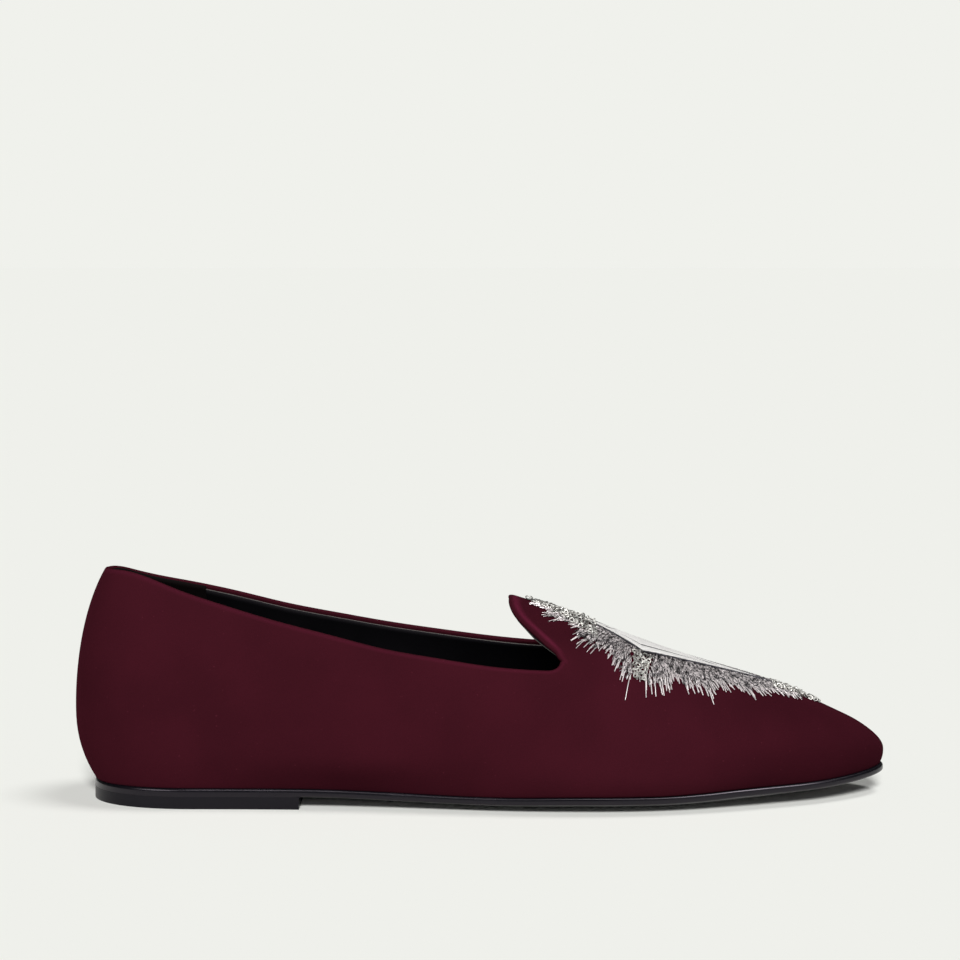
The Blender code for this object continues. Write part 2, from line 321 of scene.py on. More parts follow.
def new_piece(
    name: str,
    bm: BMesh,
    materials: Sequence[Material],
    node: str | None = None,
    sharp: float = SHARP_SHELL,
) -> Object:
    """Turns a bmesh in millimetres into a piece in the frame's metres.

    Args:
        name: The piece's name.
        bm: Its mesh, which is freed.
        materials: Its materials, in the order of its faces' numbers.
        node: The CAD node that it stands for.
        sharp: Edges with a greater angle than this stay sharp, in degrees.

    Returns:
        The piece.
    """
    bmesh.ops.translate(bm, vec=(-Last.length / 2, 0, 0), verts=bm.verts)
    bmesh.ops.scale(bm, vec=(MM, MM, MM), verts=bm.verts)
    mesh = bpy.data.meshes.new(name)
    bm.to_mesh(mesh)
    bm.free()
    for material in materials:
        mesh.materials.append(material)
    mesh.shade_smooth()
    mesh.set_sharp_from_angle(angle=math.radians(sharp))
    piece = bpy.data.objects.new(name, mesh)
    bpy.context.scene.collection.objects.link(piece)
    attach(piece, "root")
    if node is not None:
        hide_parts(node)
    LOG.info("%s: %d faces", name, len(mesh.polygons))
    return piece


@dataclass
class Last:
    """The form that every piece follows, with the sole's underside below it.

    Attributes:
        feather_back: Back end of the line where the suede meets the sole, with feather_tip.
        heel_round: Length over which an outline's back end is rounded, with toe_round.
        tuck: Along, and how sharply the lower wall curves in there.
        heel_fan: Where the ribs start to fan out round the heel, with toe_fan at the toe.
        heel_fan_short: How quickly the fanned ribs draw together, with toe_fan_short.
        throat: Front corner of the opening, softened over throat_round by throat_lift.
        tab_lean: How far the vamp's ribs lean back to the tab, over tab_lean_reach ahead of it.
        gap: Room between the sole and the sock.
        feather_share: Share of the half width at which the suede meets the sole.
        heel_seat: Height of the sole's underside over the heel, which falls to nought along waist.
        toe_spring: Height of the tip, which rises from spring_from on.
        crown: How far the forefoot's sides curl up, in over crown_from and out over crown_to.
        crown_flat: Share of the half width that stays flat.
        ribs: Along, half width on the lateral and the medial side, swing, swell on the two
            sides, the swell's height, the ridge's height and the fullness of the section.
        topline: Along, and the topline's height on the lateral and the medial side.
        inset_step: Angle over which the wall's rate is taken at the topline.
        normal_step: Distance over which the vamp's slope is taken.
    """

    length: float = 260.0
    feather_back: float = 6.1
    feather_tip: float = 259.2
    heel_round: float = 34.0
    toe_round: float = 27.0
    round_power: float = 2.2
    tuck: Table = (
        (6.0, 2.3),
        (75.0, 2.3),
        (110.0, 2.0),
        (160.0, 3.2),
        (200.0, 3.2),
        (235.0, 2.2),
        (260.0, 2.2),
    )
    heel_fan: float = 40.0
    heel_fan_short: float = 0.0147
    toe_fan: float = 215.0
    toe_fan_short: float = 0.0068
    throat: float = 155.7
    throat_round: float = 5.0
    throat_lift: float = 3.2
    tab_lean: float = 17.2
    tab_lean_reach: float = 60.0
    tab_power: float = 6.0
    sole_thickness: float = 2.6
    gap: float = 0.3
    feather_share: float = 0.975
    feather_gap: float = 0.05
    heel_seat: float = 3.9
    waist: tuple[float, float] = (71.0, 148.0)
    toe_spring: float = 7.0
    spring_from: float = 184.0
    spring_power: float = 1.65
    crown: float = 3.1
    crown_from: tuple[float, float] = (72.0, 165.0)
    crown_to: tuple[float, float] = (206.0, 258.0)
    crown_flat: float = 0.45
    ribs: Table = (
        (6.0, 27.5, 27.5, 0.0, 6.1, 6.1, 29.0, 83.0, 2.0),
        (40.0, 27.5, 27.2, 0.0, 4.2, 4.2, 28.0, 84.0, 2.0),
        (72.0, 28.3, 25.6, 0.0, 3.8, 4.4, 27.0, 80.6, 2.0),
        (100.0, 30.6, 25.4, 0.0, 3.6, 4.6, 25.0, 75.0, 2.0),
        (130.0, 35.0, 29.8, 0.0, 3.8, 4.6, 22.0, 67.3, 2.0),
        (160.0, 38.3, 35.8, 0.0, 4.1, 4.2, 19.2, 57.6, 2.0),
        (182.0, 37.8, 38.0, 0.5, 4.0, 4.0, 17.4, 49.0, 2.0),
        (206.0, 33.8, 35.2, 2.0, 3.5, 3.5, 16.0, 41.0, 2.0),
        (230.0, 26.6, 27.4, 4.2, 2.4, 2.4, 14.8, 33.0, 2.1),
        (245.0, 20.4, 20.8, 5.3, 1.6, 1.6, 14.0, 26.3, 2.3),
        (260.0, 14.0, 14.0, 6.0, 1.0, 1.0, 13.6, 20.0, 2.4),
    )
    topline: Table = (
        (6.0, 73.3, 73.3),
        (11.0, 73.4, 72.9),
        (16.0, 73.6, 71.2),
        (20.0, 73.1, 69.8),
        (33.5, 68.7, 66.6),
        (50.0, 63.35, 63.0),
        (66.0, 58.7, 59.0),
        (83.0, 54.45, 55.7),
        (99.0, 50.55, 52.8),
        (115.5, 47.85, 50.2),
        (132.0, 45.55, 47.8),
        (148.0, 44.4, 46.2),
        (160.0, 44.1, 45.7),
    )
    inset_step: float = 0.01
    normal_step: float = 0.4
    curves: dict[str, Curve] = field(init=False, repr=False)

    def __post_init__(self) -> None:
        """Draws one spline through each column of the tables."""
        ribs, topline = list(zip(*self.ribs)), list(zip(*self.topline))
        names = ("lateral", "medial", "swing", "swell_lat", "swell_med", "swell_z", "ridge", "full")
        self.curves = {name: smooth_curve(ribs[0], ribs[i + 1]) for i, name in enumerate(names)}
        for i, name in enumerate(("collar_lat", "collar_med")):
            self.curves[name] = smooth_curve(topline[0], topline[i + 1])
        self.curves["tuck"] = smooth_curve(*zip(*self.tuck))

    def pick(self, lateral: str, medial: str, along: np.ndarray, side: np.ndarray) -> np.ndarray:
        """Value of the curve that belongs to each point's own side."""
        return np.where(side < 0, self.curves[lateral](along), self.curves[medial](along))

    def end_round(self, distance: np.ndarray, reach: float) -> np.ndarray:
        """Share of the half width left at a distance from an outline's rounded end."""
        left = 1 - np.clip(distance / reach, 0.0, 1.0)
        return (1 - left**self.round_power) ** (1 / self.round_power)

    def rib(
        self,
        along: np.ndarray,
        side: np.ndarray,
        margin: float = 0.0,
        back: float = feather_back,
        tip: float = feather_tip,
    ) -> tuple[np.ndarray, np.ndarray]:
        """Plan ends of the ribs of an outline.

        Args:
            along: Where the ribs meet the outline.
            side: Their sides.
            margin: How far the outline stands outside the feather line.
            back: The outline's back end.
            tip: The outline's front end.

        Returns:
            Points on the spine and points on the outline.
        """
        heel = np.maximum(self.heel_fan - along, 0.0)
        toe = np.maximum(along - self.toe_fan, 0.0)
        inner = along + self.heel_fan_short * heel**2 - self.toe_fan_short * toe**2
        half = self.pick("lateral", "medial", along, side) + margin
        half = half * self.end_round(along - back, self.heel_round)
        half = half * self.end_round(tip - along, self.toe_round)
        swing = self.curves["swing"]
        root = np.stack((inner, swing(inner)), -1)
        return root, np.stack((along, swing(along) + side * half), -1)

    def underside(self, along: np.ndarray, share: np.ndarray | float) -> np.ndarray:
        """Height of the sole's underside.

        Args:
            along: Distance from the back of the heel.
            share: Share of the half width.

        Returns:
            The heights above the floor.
        """
        rise = 1 - ease((along - self.waist[0]) / (self.waist[1] - self.waist[0]))
        spring = np.maximum(along - self.spring_from, 0.0) / (self.length - self.spring_from)
        keel = self.heel_seat * rise + self.toe_spring * spring**self.spring_power
        start = ease((along - self.crown_from[0]) / (self.crown_from[1] - self.crown_from[0]))
        stop = ease((self.crown_to[1] - along) / (self.crown_to[1] - self.crown_to[0]))
        curl = np.maximum(share - self.crown_flat, 0.0) / (1 - self.crown_flat)
        return keel + self.crown * start * stop * curl**2

    def reach(self, along: np.ndarray, side: np.ndarray) -> tuple[np.ndarray, np.ndarray]:
        """Roots of the ribs on the spine, and their reach to the swell.

        Args:
            along: Where the ribs stand.
            side: Their sides.

        Returns:
            Plan points on the spine, and the plan vectors from there.
        """
        root, edge = self.rib(along, side)
        swell = self.pick("swell_lat", "swell_med", along, side)
        return root, edge - root + unit(edge - root) * swell[..., None]

    def wall_low(self, along: np.ndarray, side: np.ndarray, up: np.ndarray) -> np.ndarray:
        """Points of the tucked-in lower wall.

        Args:
            along: Where the ribs stand.
            side: Their sides.
            up: Share of the way from the feather line at 0 to the swell at 1.

        Returns:
            The points.
        """
        root, edge = self.rib(along, side)
        swell = self.pick("swell_lat", "swell_med", along, side)
        swell = swell * (1 - (1 - up) ** self.curves["tuck"](along))
        plan = edge + unit(edge - root) * swell[..., None]
        low = self.underside(along, self.feather_share) + self.sole_thickness + self.feather_gap
        height = low + (self.curves["swell_z"](along) - low) * up
        return np.concatenate((plan, height[..., None]), -1)

    def wall_high(self, along: np.ndarray, side: np.ndarray, angle: np.ndarray) -> np.ndarray:
        """Points of the upper wall.

        Args:
            along: Where the ribs stand.
            side: Their sides.
            angle: Angle on each rib, from the swell at 0 to the spine at a right angle.

        Returns:
            The points.
        """
        root, reach = self.reach(along, side)
        power = 2 / self.curves["full"](along)
        plan = root + reach * (np.maximum(np.cos(angle), 0.0) ** power)[..., None]
        low = self.curves["swell_z"](along)
        height = low + (self.curves["ridge"](plan[..., 0]) - low) * np.sin(angle) ** power
        return np.concatenate((plan, height[..., None]), -1)

    def collar_angle(self, along: np.ndarray, side: np.ndarray, inset: float = 0.0) -> np.ndarray:
        """Angle on each rib where the wall reaches the topline.

        Args:
            along: Where the ribs stand.
            side: Their sides.
            inset: How far below the topline to stop.

        Returns:
            The angles.
        """

        def below(angle: np.ndarray) -> np.ndarray:
            """Whether the wall is still below the topline.

            Args:
                angle: Angle on each rib.

            Returns:
                True where it is.
            """
            point = self.wall_high(along, side, angle)
            place = np.minimum(point[..., 0], self.throat)
            turn = np.clip((place - self.throat + self.throat_round) / self.throat_round, 0.0, 1.0)
            top = self.pick("collar_lat", "collar_med", place, side)
            return point[..., 2] < top + self.throat_lift * (1 - np.sqrt(1 - turn**2))

        step = self.inset_step
        angle = last_place(np.zeros_like(along), np.full_like(along, math.pi / 2), below)
        rate = self.wall_high(along, side, angle) - self.wall_high(along, side, angle - step)
        return angle - inset * step / np.linalg.norm(rate, axis=-1)

    def vamp(self, along: np.ndarray, side: np.ndarray, angle: np.ndarray) -> np.ndarray:
        """Points of the vamp on ribs that lean back, so that the first rib is the tab's edge.

        Args:
            along: Where the ribs stand.
            side: Their sides.
            angle: Angle on each rib, as for the upper wall.

        Returns:
            The points.
        """
        lean = self.tab_lean * np.maximum(1 - (along - self.throat) / self.tab_lean_reach, 0.0) ** 2
        corner = {s: self.collar_angle(np.array([self.throat]), np.array([s.value])) for s in Side}
        throat = np.where(side < 0, corner[Side.LATERAL], corner[Side.MEDIAL])
        share = np.minimum(np.cos(angle) / np.cos(throat), 1.0)
        return self.wall_high(along - lean * (1 - share**self.tab_power), side, angle)

    def over(self, along: np.ndarray, across: np.ndarray) -> np.ndarray:
        """Points of the vamp's outside above plan positions.

        Args:
            along: Distance from the back of the heel.
            across: Distance from the shoe's axis.

        Returns:
            The points.
        """
        side = np.where(across > self.curves["swing"](along), 1.0, -1.0)

        def crossing(place: np.ndarray) -> tuple[np.ndarray, np.ndarray]:
            """Where ribs pass the points' distance across.

            Args:
                place: Where the ribs stand.

            Returns:
                The shares, and how far along the ribs are there.
            """
            root, reach = self.reach(place, side)
            share = np.clip((across - root[..., 1]) / reach[..., 1], 0.0, 1.0)
            return share, root[..., 0] + reach[..., 0] * share

        tip = np.full_like(along, self.feather_tip)
        place = last_place(along, tip, lambda at: crossing(at)[1] < along)
        power = self.curves["full"](place) / 2
        return self.wall_high(place, side, np.arccos(crossing(place)[0] ** power))

    def over_normal(self, along: np.ndarray, across: np.ndarray) -> np.ndarray:
        """Outward normals of the vamp above plan positions.

        Args:
            along: Distance from the back of the heel.
            across: Distance from the shoe's axis.

        Returns:
            The normals, at length one.
        """
        step = self.normal_step
        ahead = self.over(along + step, across) - self.over(along - step, across)
        aside = self.over(along, across + step) - self.over(along, across - step)
        return unit(np.cross(ahead, aside))


@dataclass(frozen=True)
class RibCount:
    """How many ribs stand along each stretch of one side, and how the quarter's crowd forward."""

    heel: int
    quarter: int
    vamp: int
    toe: int
    crowding: float = 0.85

    def loop(self, last: Last) -> tuple[np.ndarray, np.ndarray]:
        """Ribs right round the shoe, from the toe down the lateral side and back up the medial.

        Args:
            last: The last that the ribs belong to.

        Returns:
            Their places and their sides.
        """
        back, tip, half = last.feather_back, last.feather_tip, math.pi / 2
        turn = np.cos(half * np.arange(self.heel) / self.heel)
        heel = last.heel_fan - (last.heel_fan - back) * turn
        turn = np.sin(half * np.arange(self.quarter) / self.quarter) ** self.crowding
        quarter = last.heel_fan + (last.throat - last.heel_fan) * turn
        vamp = last.throat + (last.toe_fan - last.throat) * np.arange(self.vamp) / self.vamp
        turn = np.sin(half * np.arange(self.toe + 1) / self.toe)
        toe = last.toe_fan + (tip - last.toe_fan) * turn
        places = np.concatenate((heel, quarter, vamp, toe))
        sides = np.concatenate((np.full(len(places), -1.0), np.full(len(places) - 1, 1.0)))
        return np.concatenate((places[::-1], places[1:])), sides


@dataclass
class Skin:
    """A grid over the last that leaves the collar open.

    Attributes:
        last: The last.
        ribs: Its columns.
        tuck: The row at the swell.
        collar: The row at the topline.
        ridge: The row along the spine.
        setback: How far the edge lies behind the last's own: along the collar at share 0, then
            round the tab from the throat's corner to its tip at share 1.
        crowding: How the lowest rows crowd towards the sole.
    """

    last: Last
    ribs: RibCount
    tuck: int
    collar: int
    ridge: int
    setback: Table
    crowding: float = 1.5

    def __post_init__(self) -> None:
        """Works out each column's place and the angle where it meets the collar."""
        last = self.last
        inset = self.setback[0][1]
        self.shift = smooth_curve(*zip(*self.setback))
        self.along, self.side = self.ribs.loop(last)
        self.front = self.along >= last.throat
        even = (self.collar - self.tuck) / (self.ridge - self.tuck) * math.pi / 2
        fade = ease((self.along - last.throat) / (last.feather_tip - last.throat))
        throat = last.collar_angle(np.full_like(self.along, last.throat), self.side, inset)
        rear = last.collar_angle(np.minimum(self.along, last.throat), self.side, inset)
        self.corner = np.where(self.front, throat * (1 - fade) + even * fade, rear)
        back = np.maximum(1 - (self.along - last.throat) / last.tab_lean_reach, 0.0)
        self.back = np.where(self.front, back, 0.0)

    def place(self, column: np.ndarray, row: np.ndarray) -> np.ndarray:
        """Points of the outside.

        Args:
            column: Columns of the grid.
            row: Rows of the grid.

        Returns:
            The points, in millimetres.
        """
        side, corner = self.side[column], self.corner[column]
        share = np.clip((row - self.tuck) / (self.collar - self.tuck), 0.0, 1.0)
        rest = np.clip((row - self.collar) / (self.ridge - self.collar), 0.0, 1.0)
        along = self.along[column] + self.shift(rest) * self.back[column]
        up = np.clip(row / self.tuck, 0.0, 1.0) ** self.crowding
        low = self.last.wall_low(along, side, up)
        angle = corner * share + (math.pi / 2 - corner) * rest
        rear = self.last.wall_high(along, side, angle)
        high = np.where(self.front[column][:, None], self.last.vamp(along, side, angle), rear)
        return np.where((row <= self.tuck)[:, None], low, high)

    def keep(self, column: np.ndarray, row: np.ndarray) -> np.ndarray:
        """Corners outside the collar's opening."""
        return (row <= self.collar) | self.front[column]

    def grid(self) -> BMesh:
        """The open shell as a bmesh in millimetres."""
        return mapped_grid(len(self.along), self.ridge + 1, self.place, self.keep)


def plate(
    last: Last,
    ribs: RibCount,
    shares: Sequence[float],
    outline: tuple[float, float, float],
    lift: float,
    thickness: float,
) -> BMesh:
    """Plate over the ribs of an outline that follows the sole's underside.

    Args:
        last: The last.
        ribs: Its ribs along each side.
        shares: Shares of the half width at which the rows run, from 1 to 0.
        outline: Margin outside the feather line, back end and front end.
        lift: How far above the sole's underside the plate lies.
        thickness: The plate's thickness.

    Returns:
        A closed bmesh.
    """
    margin, back, tip = outline
    along, side = ribs.loop(last)
    stretch = (tip - back) / (last.feather_tip - last.feather_back)
    along = back + (along - last.feather_back) * stretch
    share_at = np.array(shares)

    def place(column: np.ndarray, row: np.ndarray) -> np.ndarray:
        """Points of the plate's underside.

        Args:
            column: Columns of the grid.
            row: Rows of the grid.

        Returns:
            The points, in millimetres.
        """
        root, edge = last.rib(along[column], side[column], margin, back, tip)
        share = share_at[row]
        plan = root + (edge - root) * share[:, None]
        height = last.underside(plan[:, 0], share) + lift
        return np.concatenate((plan, height[:, None]), -1)

    return thicken(mapped_grid(len(along), len(shares), place), thickness)


def thicken(bm: BMesh, thickness: float) -> BMesh:
    """Raises a flat sheet into a plate of even height.

    Args:
        bm: The sheet.
        thickness: How far it is raised.

    Returns:
        The same bmesh, closed.
    """
    grown = bmesh.ops.extrude_face_region(bm, geom=list(bm.faces))["geom"]
    raised = [item for item in grown if isinstance(item, BMVert)]
    bmesh.ops.translate(bm, vec=(0, 0, thickness), verts=raised)
    bmesh.ops.recalc_face_normals(bm, faces=bm.faces)
    bm.normal_update()
    return bm


def round_corners(bm: BMesh, width: float, segments: int, chosen: EdgeTest) -> None:
    """Rounds the sharp edges of a plate.

    Args:
        bm: The plate.
        width: How far the rounding reaches from each edge.
        segments: Faces across the rounding.
        chosen: Which of the sharp edges are rounded.
    """
    sharp = [edge for edge in bm.edges if edge.is_manifold and edge.calc_face_angle() > CORNER]
    bmesh.ops.bevel(
        bm,
        geom=[edge for edge in sharp if chosen(edge)],
        offset=width,
        offset_type="OFFSET",
        affect="EDGES",
        segments=segments,
        profile=0.5,
        material=-1,
        clamp_overlap=True,
    )
    bm.normal_update()


def is_upper(edge: BMEdge) -> bool:
    """Whether an edge lies along the top of the upright face that it borders.

    Args:
        edge: An edge of a plate.

    Returns:
        True for an upper edge.
    """
    upright = min(edge.link_faces, key=lambda face: abs(face.normal.z))
    middle = (edge.verts[0].co.z + edge.verts[1].co.z) / 2
    return middle > upright.calc_center_median().z


@dataclass(frozen=True)
class Suede:
    """Kid suede, dyed through and brushed: matt, with a painted highlight where it rolls.

    Attributes:
        deep: Colour down in the nap, with raised on top of it and a painted highlight's colour for
            the rolled topline.
        nap_mm: Size of the nap as it is drawn.
        nap_share: Weight of the nap against the brushed patches.
        seam_behind: The seam shows behind this X, in metres.
    """

    deep: str = "38121b"
    raised: str = "3e141e"
    # Colour of the painted highlight along the rolled topline
    rim_highlight: str = "531a2c"
    sheen: str = "b4566c"
    seam: str = "12050a"
    nap_mm: float = 0.5
    nap_share: float = 0.45
    patch_mm: float = 24.0
    lint_mm: float = 0.8
    lint_shows: float = 0.06
    seam_mm: float = 0.45
    seam_shows: float = 0.7
    seam_behind: float = -0.07

    def material(self) -> Material:
        """Makes nap, brushed patches, stray lint, the heel's seam, and the mesh's painted light and
        shade.

        Returns:
            The material.
        """
        material, node, shader = new_tree("kid_suede_burgundy")
        place = node("TexCoord").outputs["Object"]
        # Nap is finer than a pixel, so it is drawn at half a millimetre to show at all
        nap = node(
            "TexNoise",
            {"Vector": place, "Scale": per_metre(self.nap_mm), "Detail": 3.0, "Roughness": 0.6},
        )
        patch = node(
            "TexNoise",
            {"Vector": place, "Scale": per_metre(self.patch_mm), "Detail": 2.0, "Roughness": 0.5},
        )
        both = node(
            "Math",
            {0: nap.outputs["Fac"], 1: self.nap_share, 2: patch.outputs["Fac"]},
            operation="MULTIPLY_ADD",
        )
        share = node(
            "MapRange",
            {"Value": both.outputs[0], "From Min": 0.45, "From Max": 1.0},
            interpolation_type="SMOOTHSTEP",
        )
        cloth = node(
            "Mix",
            {0: share.outputs[0], 6: linear(self.deep), 7: linear(self.raised)},
            data_type="RGBA",
        )
        # Painted shade and painted light from the mesh scale the colour's value
        painted_shading = node("Attribute", attribute_name="painted_shading")
        shaded_cloth = node("HueSaturation", {"Color": cloth.outputs[2], "Value": painted_shading.outputs["Fac"]})
        # The rim attribute mixes in a painted highlight along the rolled topline
        rim = node("Attribute", attribute_name="rim")
        rolled = node(
            "Mix",
            {0: rim.outputs["Fac"], 6: shaded_cloth.outputs[0], 7: linear(self.rim_highlight)},
            data_type="RGBA",
        )
        lint = node("TexNoise", {"Vector": place, "Scale": per_metre(self.lint_mm), "Detail": 0.0})
        speck = node(
            "MapRange",
            {
                "Value": lint.outputs["Fac"],
                "From Min": 0.82,
                "From Max": 0.9,
                "To Max": self.lint_shows,
            },
        )
        strewn = node(
            "Mix",
            {0: speck.outputs[0], 6: rolled.outputs[2], 7: linear(self.sheen)},
            data_type="RGBA",
        )
        seam = self.back_seam(node, place)
        colour = node(
            "Mix", {0: seam, 6: strewn.outputs[2], 7: linear(self.seam)}, data_type="RGBA"
        )
        bump = node("Bump", {"Height": nap.outputs["Fac"], "Strength": 0.35, "Distance": 0.12 * MM})
        groove = node(
            "Bump",
            {"Height": seam, "Normal": bump.outputs["Normal"], "Distance": 0.3 * MM},
            invert=True,
        )
        finish = {
            "Base Color": colour.outputs[2],
            "Normal": groove.outputs["Normal"],
            "Roughness": 0.95,
            "Specular IOR Level": 0.0,
            "Sheen Weight": 0.05,
            "Sheen Roughness": 0.4,
            "Sheen Tint": linear(self.sheen),
        }
        set_inputs(shader, finish)
        return material

    def back_seam(self, node: NodeMaker, place: NodeSocket) -> NodeSocket:
        """Mask of the closing seam up the middle of the heel.

        Args:
            node: Adds a node to the material.
            place: Object coordinates.

        Returns:
            A socket that is above 0 in the seam alone.
        """
        axes = node("SeparateXYZ", {0: place})
        aside = node("Math", {0: axes.outputs["Y"]}, operation="ABSOLUTE")
        line = node(
            "MapRange",
            {
                "Value": aside.outputs[0],
                "From Max": self.seam_mm * MM,
                "To Min": self.seam_shows,
                "To Max": 0.0,
            },
        )
        behind = node("Math", {0: axes.outputs["X"], 1: self.seam_behind}, operation="LESS_THAN")
        mask = node("Math", {0: line.outputs[0], 1: behind.outputs[0]}, operation="MULTIPLY")
        return mask.outputs[0]


@dataclass(frozen=True)
class DressedLeather:
    """Black leather, and rubber dressed like it: its grey is the room mirrored in its polish.

    Attributes:
        grain_mm: Size of the grain, with depth_mm for its depth.
        gloss: How strongly it mirrors.
        tint: Colour of what it mirrors.
        smear_mm: Size of the patches in its polish.
    """

    name: str
    colour: str
    roughness: float
    grain_mm: float
    depth_mm: float
    gloss: float
    tint: str = "fff1ff"
    smear_mm: float = 11.0

    def material(self) -> Material:
        """Makes a pebbled grain and uneven polish.

        Returns:
            The material.
        """
        material, node, shader = new_tree(self.name)
        place = node("TexCoord").outputs["Object"]
        grain = node(
            "TexVoronoi",
            {"Vector": place, "Scale": per_metre(self.grain_mm), "Randomness": 1.0},
            feature="SMOOTH_F1",
        )
        smear = node(
            "TexNoise",
            {"Vector": place, "Scale": per_metre(self.smear_mm), "Detail": 4.0, "Roughness": 0.6},
        ).outputs["Fac"]
        shade = node("MapRange", {"Value": smear, "To Min": 0.75, "To Max": 1.3})
        colour = node(
            "Mix",
            {0: 1.0, 6: linear(self.colour), 7: shade.outputs[0]},
            data_type="RGBA",
            blend_type="MULTIPLY",
        )
        smooth, dull = self.roughness - 0.08, self.roughness + 0.1
        polish = node("MapRange", {"Value": smear, "To Min": smooth, "To Max": dull})
        bump = node(
            "Bump",
            {"Height": grain.outputs["Distance"], "Strength": 0.4, "Distance": self.depth_mm * MM},
        )
        finish = {
            "Base Color": colour.outputs[2],
            "Roughness": polish.outputs[0],
            "Normal": bump.outputs["Normal"],
            "IOR": 1.5,
            "Specular IOR Level": self.gloss,
            "Specular Tint": linear(self.tint),
        }
        set_inputs(shader, finish)
        return material


@dataclass(frozen=True)
class CutEdge:
    """Raw edge of the lining: pale undyed fibre showing as a hairline."""

    dark: str = "403d3a"
    light: str = "6c6864"
    fibre_mm: float = 0.4

    def material(self) -> Material:
        """Makes short fibres across the cut.

        Returns:
            The material.
        """
        material, node, shader = new_tree("lining_cut_edge")
        place = node("TexCoord").outputs["Object"]
        fibre = node(
            "TexNoise", {"Vector": place, "Scale": per_metre(self.fibre_mm), "Detail": 2.0}
        )
        colour = node(
            "Mix",
            {0: fibre.outputs["Fac"], 6: linear(self.dark), 7: linear(self.light)},
            data_type="RGBA",
        )
        set_inputs(shader, {"Base Color": colour.outputs[2], "Roughness": 0.85})
        return material


@dataclass(frozen=True)
class MetalThread:
    """Silver thread: foil wound on a core, so each thread glints apart from its neighbours."""

    name: str
    dark: str
    light: str
    roughness: float
    twist_mm: float

    def material(self) -> Material:
        """Makes the wound foil, its tone read from each thread's own shade.

        Returns:
            The material.
        """
        material, node, shader = new_tree(self.name)
        place = node("TexCoord").outputs["Object"]
        shade = node("Attribute", attribute_name="shade")
        # The foil's turns are finer than a pixel, so they are drawn coarser than life
        twist = node(
            "TexNoise", {"Vector": place, "Scale": per_metre(self.twist_mm), "Detail": 1.0}
        ).outputs["Fac"]
        tone = node("Math", {0: twist, 1: 0.5, 2: shade.outputs["Fac"]}, operation="MULTIPLY_ADD")
        share = node("MapRange", {"Value": tone.outputs[0], "From Min": 0.15, "From Max": 1.25})
        colour = node(
            "Mix",
            {0: share.outputs[0], 6: linear(self.dark), 7: linear(self.light)},
            data_type="RGBA",
        )
        bump = node("Bump", {"Height": twist, "Strength": 0.5, "Distance": 0.06 * MM})
        finish = {
            "Base Color": colour.outputs[2],
            "Normal": bump.outputs["Normal"],
            "Metallic": 0.55,
            "Roughness": self.roughness,
        }
        set_inputs(shader, finish)
        return material


@dataclass(frozen=True)
class SatinStitch:
    """White silk floss set side by side: soft gloss, with painted shade in the line between
    stitches.
    """

    light: str = "f6f4f0"
    shade: str = "b4b1b2"
    outline: str = "2b292d"
    pitch_mm: float = 0.8
    line_half: float = 0.06

    def material(self) -> Material:
        """Makes stitches counted along the arms, with a line between the two rows.

        Returns:
            The material.
        """
        material, node, shader = new_tree("silk_satin_stitch_white")
        # Real stitches are 0.4 mm apart; they are drawn twice as wide so that they show, with
        # painted shade in the line between them
        stitch = node("Attribute", attribute_name="stitch")
        turns = node(
            "Math", {0: stitch.outputs["Fac"], 1: 2 * math.pi / self.pitch_mm}, operation="MULTIPLY"
        )
        wave = node("Math", {0: turns.outputs[0]}, operation="SINE").outputs[0]
        line = node("MapRange", {"Value": wave, "From Min": -1.0, "From Max": -0.2})
        floss = node(
            "Mix",
            {0: line.outputs[0], 6: linear(self.shade), 7: linear(self.light)},
            data_type="RGBA",
        )
        edge = node("Attribute", attribute_name="share")
        between = node(
            "Math", {0: edge.outputs["Fac"], 1: STAR_ROW, 2: self.line_half}, operation="COMPARE"
        )
        colour = node(
            "Mix",
            {0: between.outputs[0], 6: floss.outputs[2], 7: linear(self.outline)},
            data_type="RGBA",
        )
        bump = node("Bump", {"Height": wave, "Strength": 0.6, "Distance": 0.08 * MM})
        finish = {
            "Base Color": colour.outputs[2],
            "Normal": bump.outputs["Normal"],
            "Roughness": 0.5,
            "Sheen Weight": 0.2,
        }
        set_inputs(shader, finish)
        return material


@dataclass(frozen=True)
class PaintedShading:
    """A stretch near the sole with painted shade where its tone is below nought, painted light
    above.

    Attributes:
        tone: What it adds to the tone there: painted shade below nought, painted light above.
        middle: Where it is strongest along the shoe.
        spread: How far it reaches either way.
        top: The height where it has faded out.
        fade: How far below that it is full.
    """

    tone: float
    middle: float
    spread: float
    top: float
    fade: float

    def at(self, along: np.ndarray, height: np.ndarray) -> np.ndarray:
        """What it adds to the tone at each point."""
        near = np.exp(-(((along - self.middle) / self.spread) ** 2))
        return self.tone * near * ease((self.top - height) / self.fade)


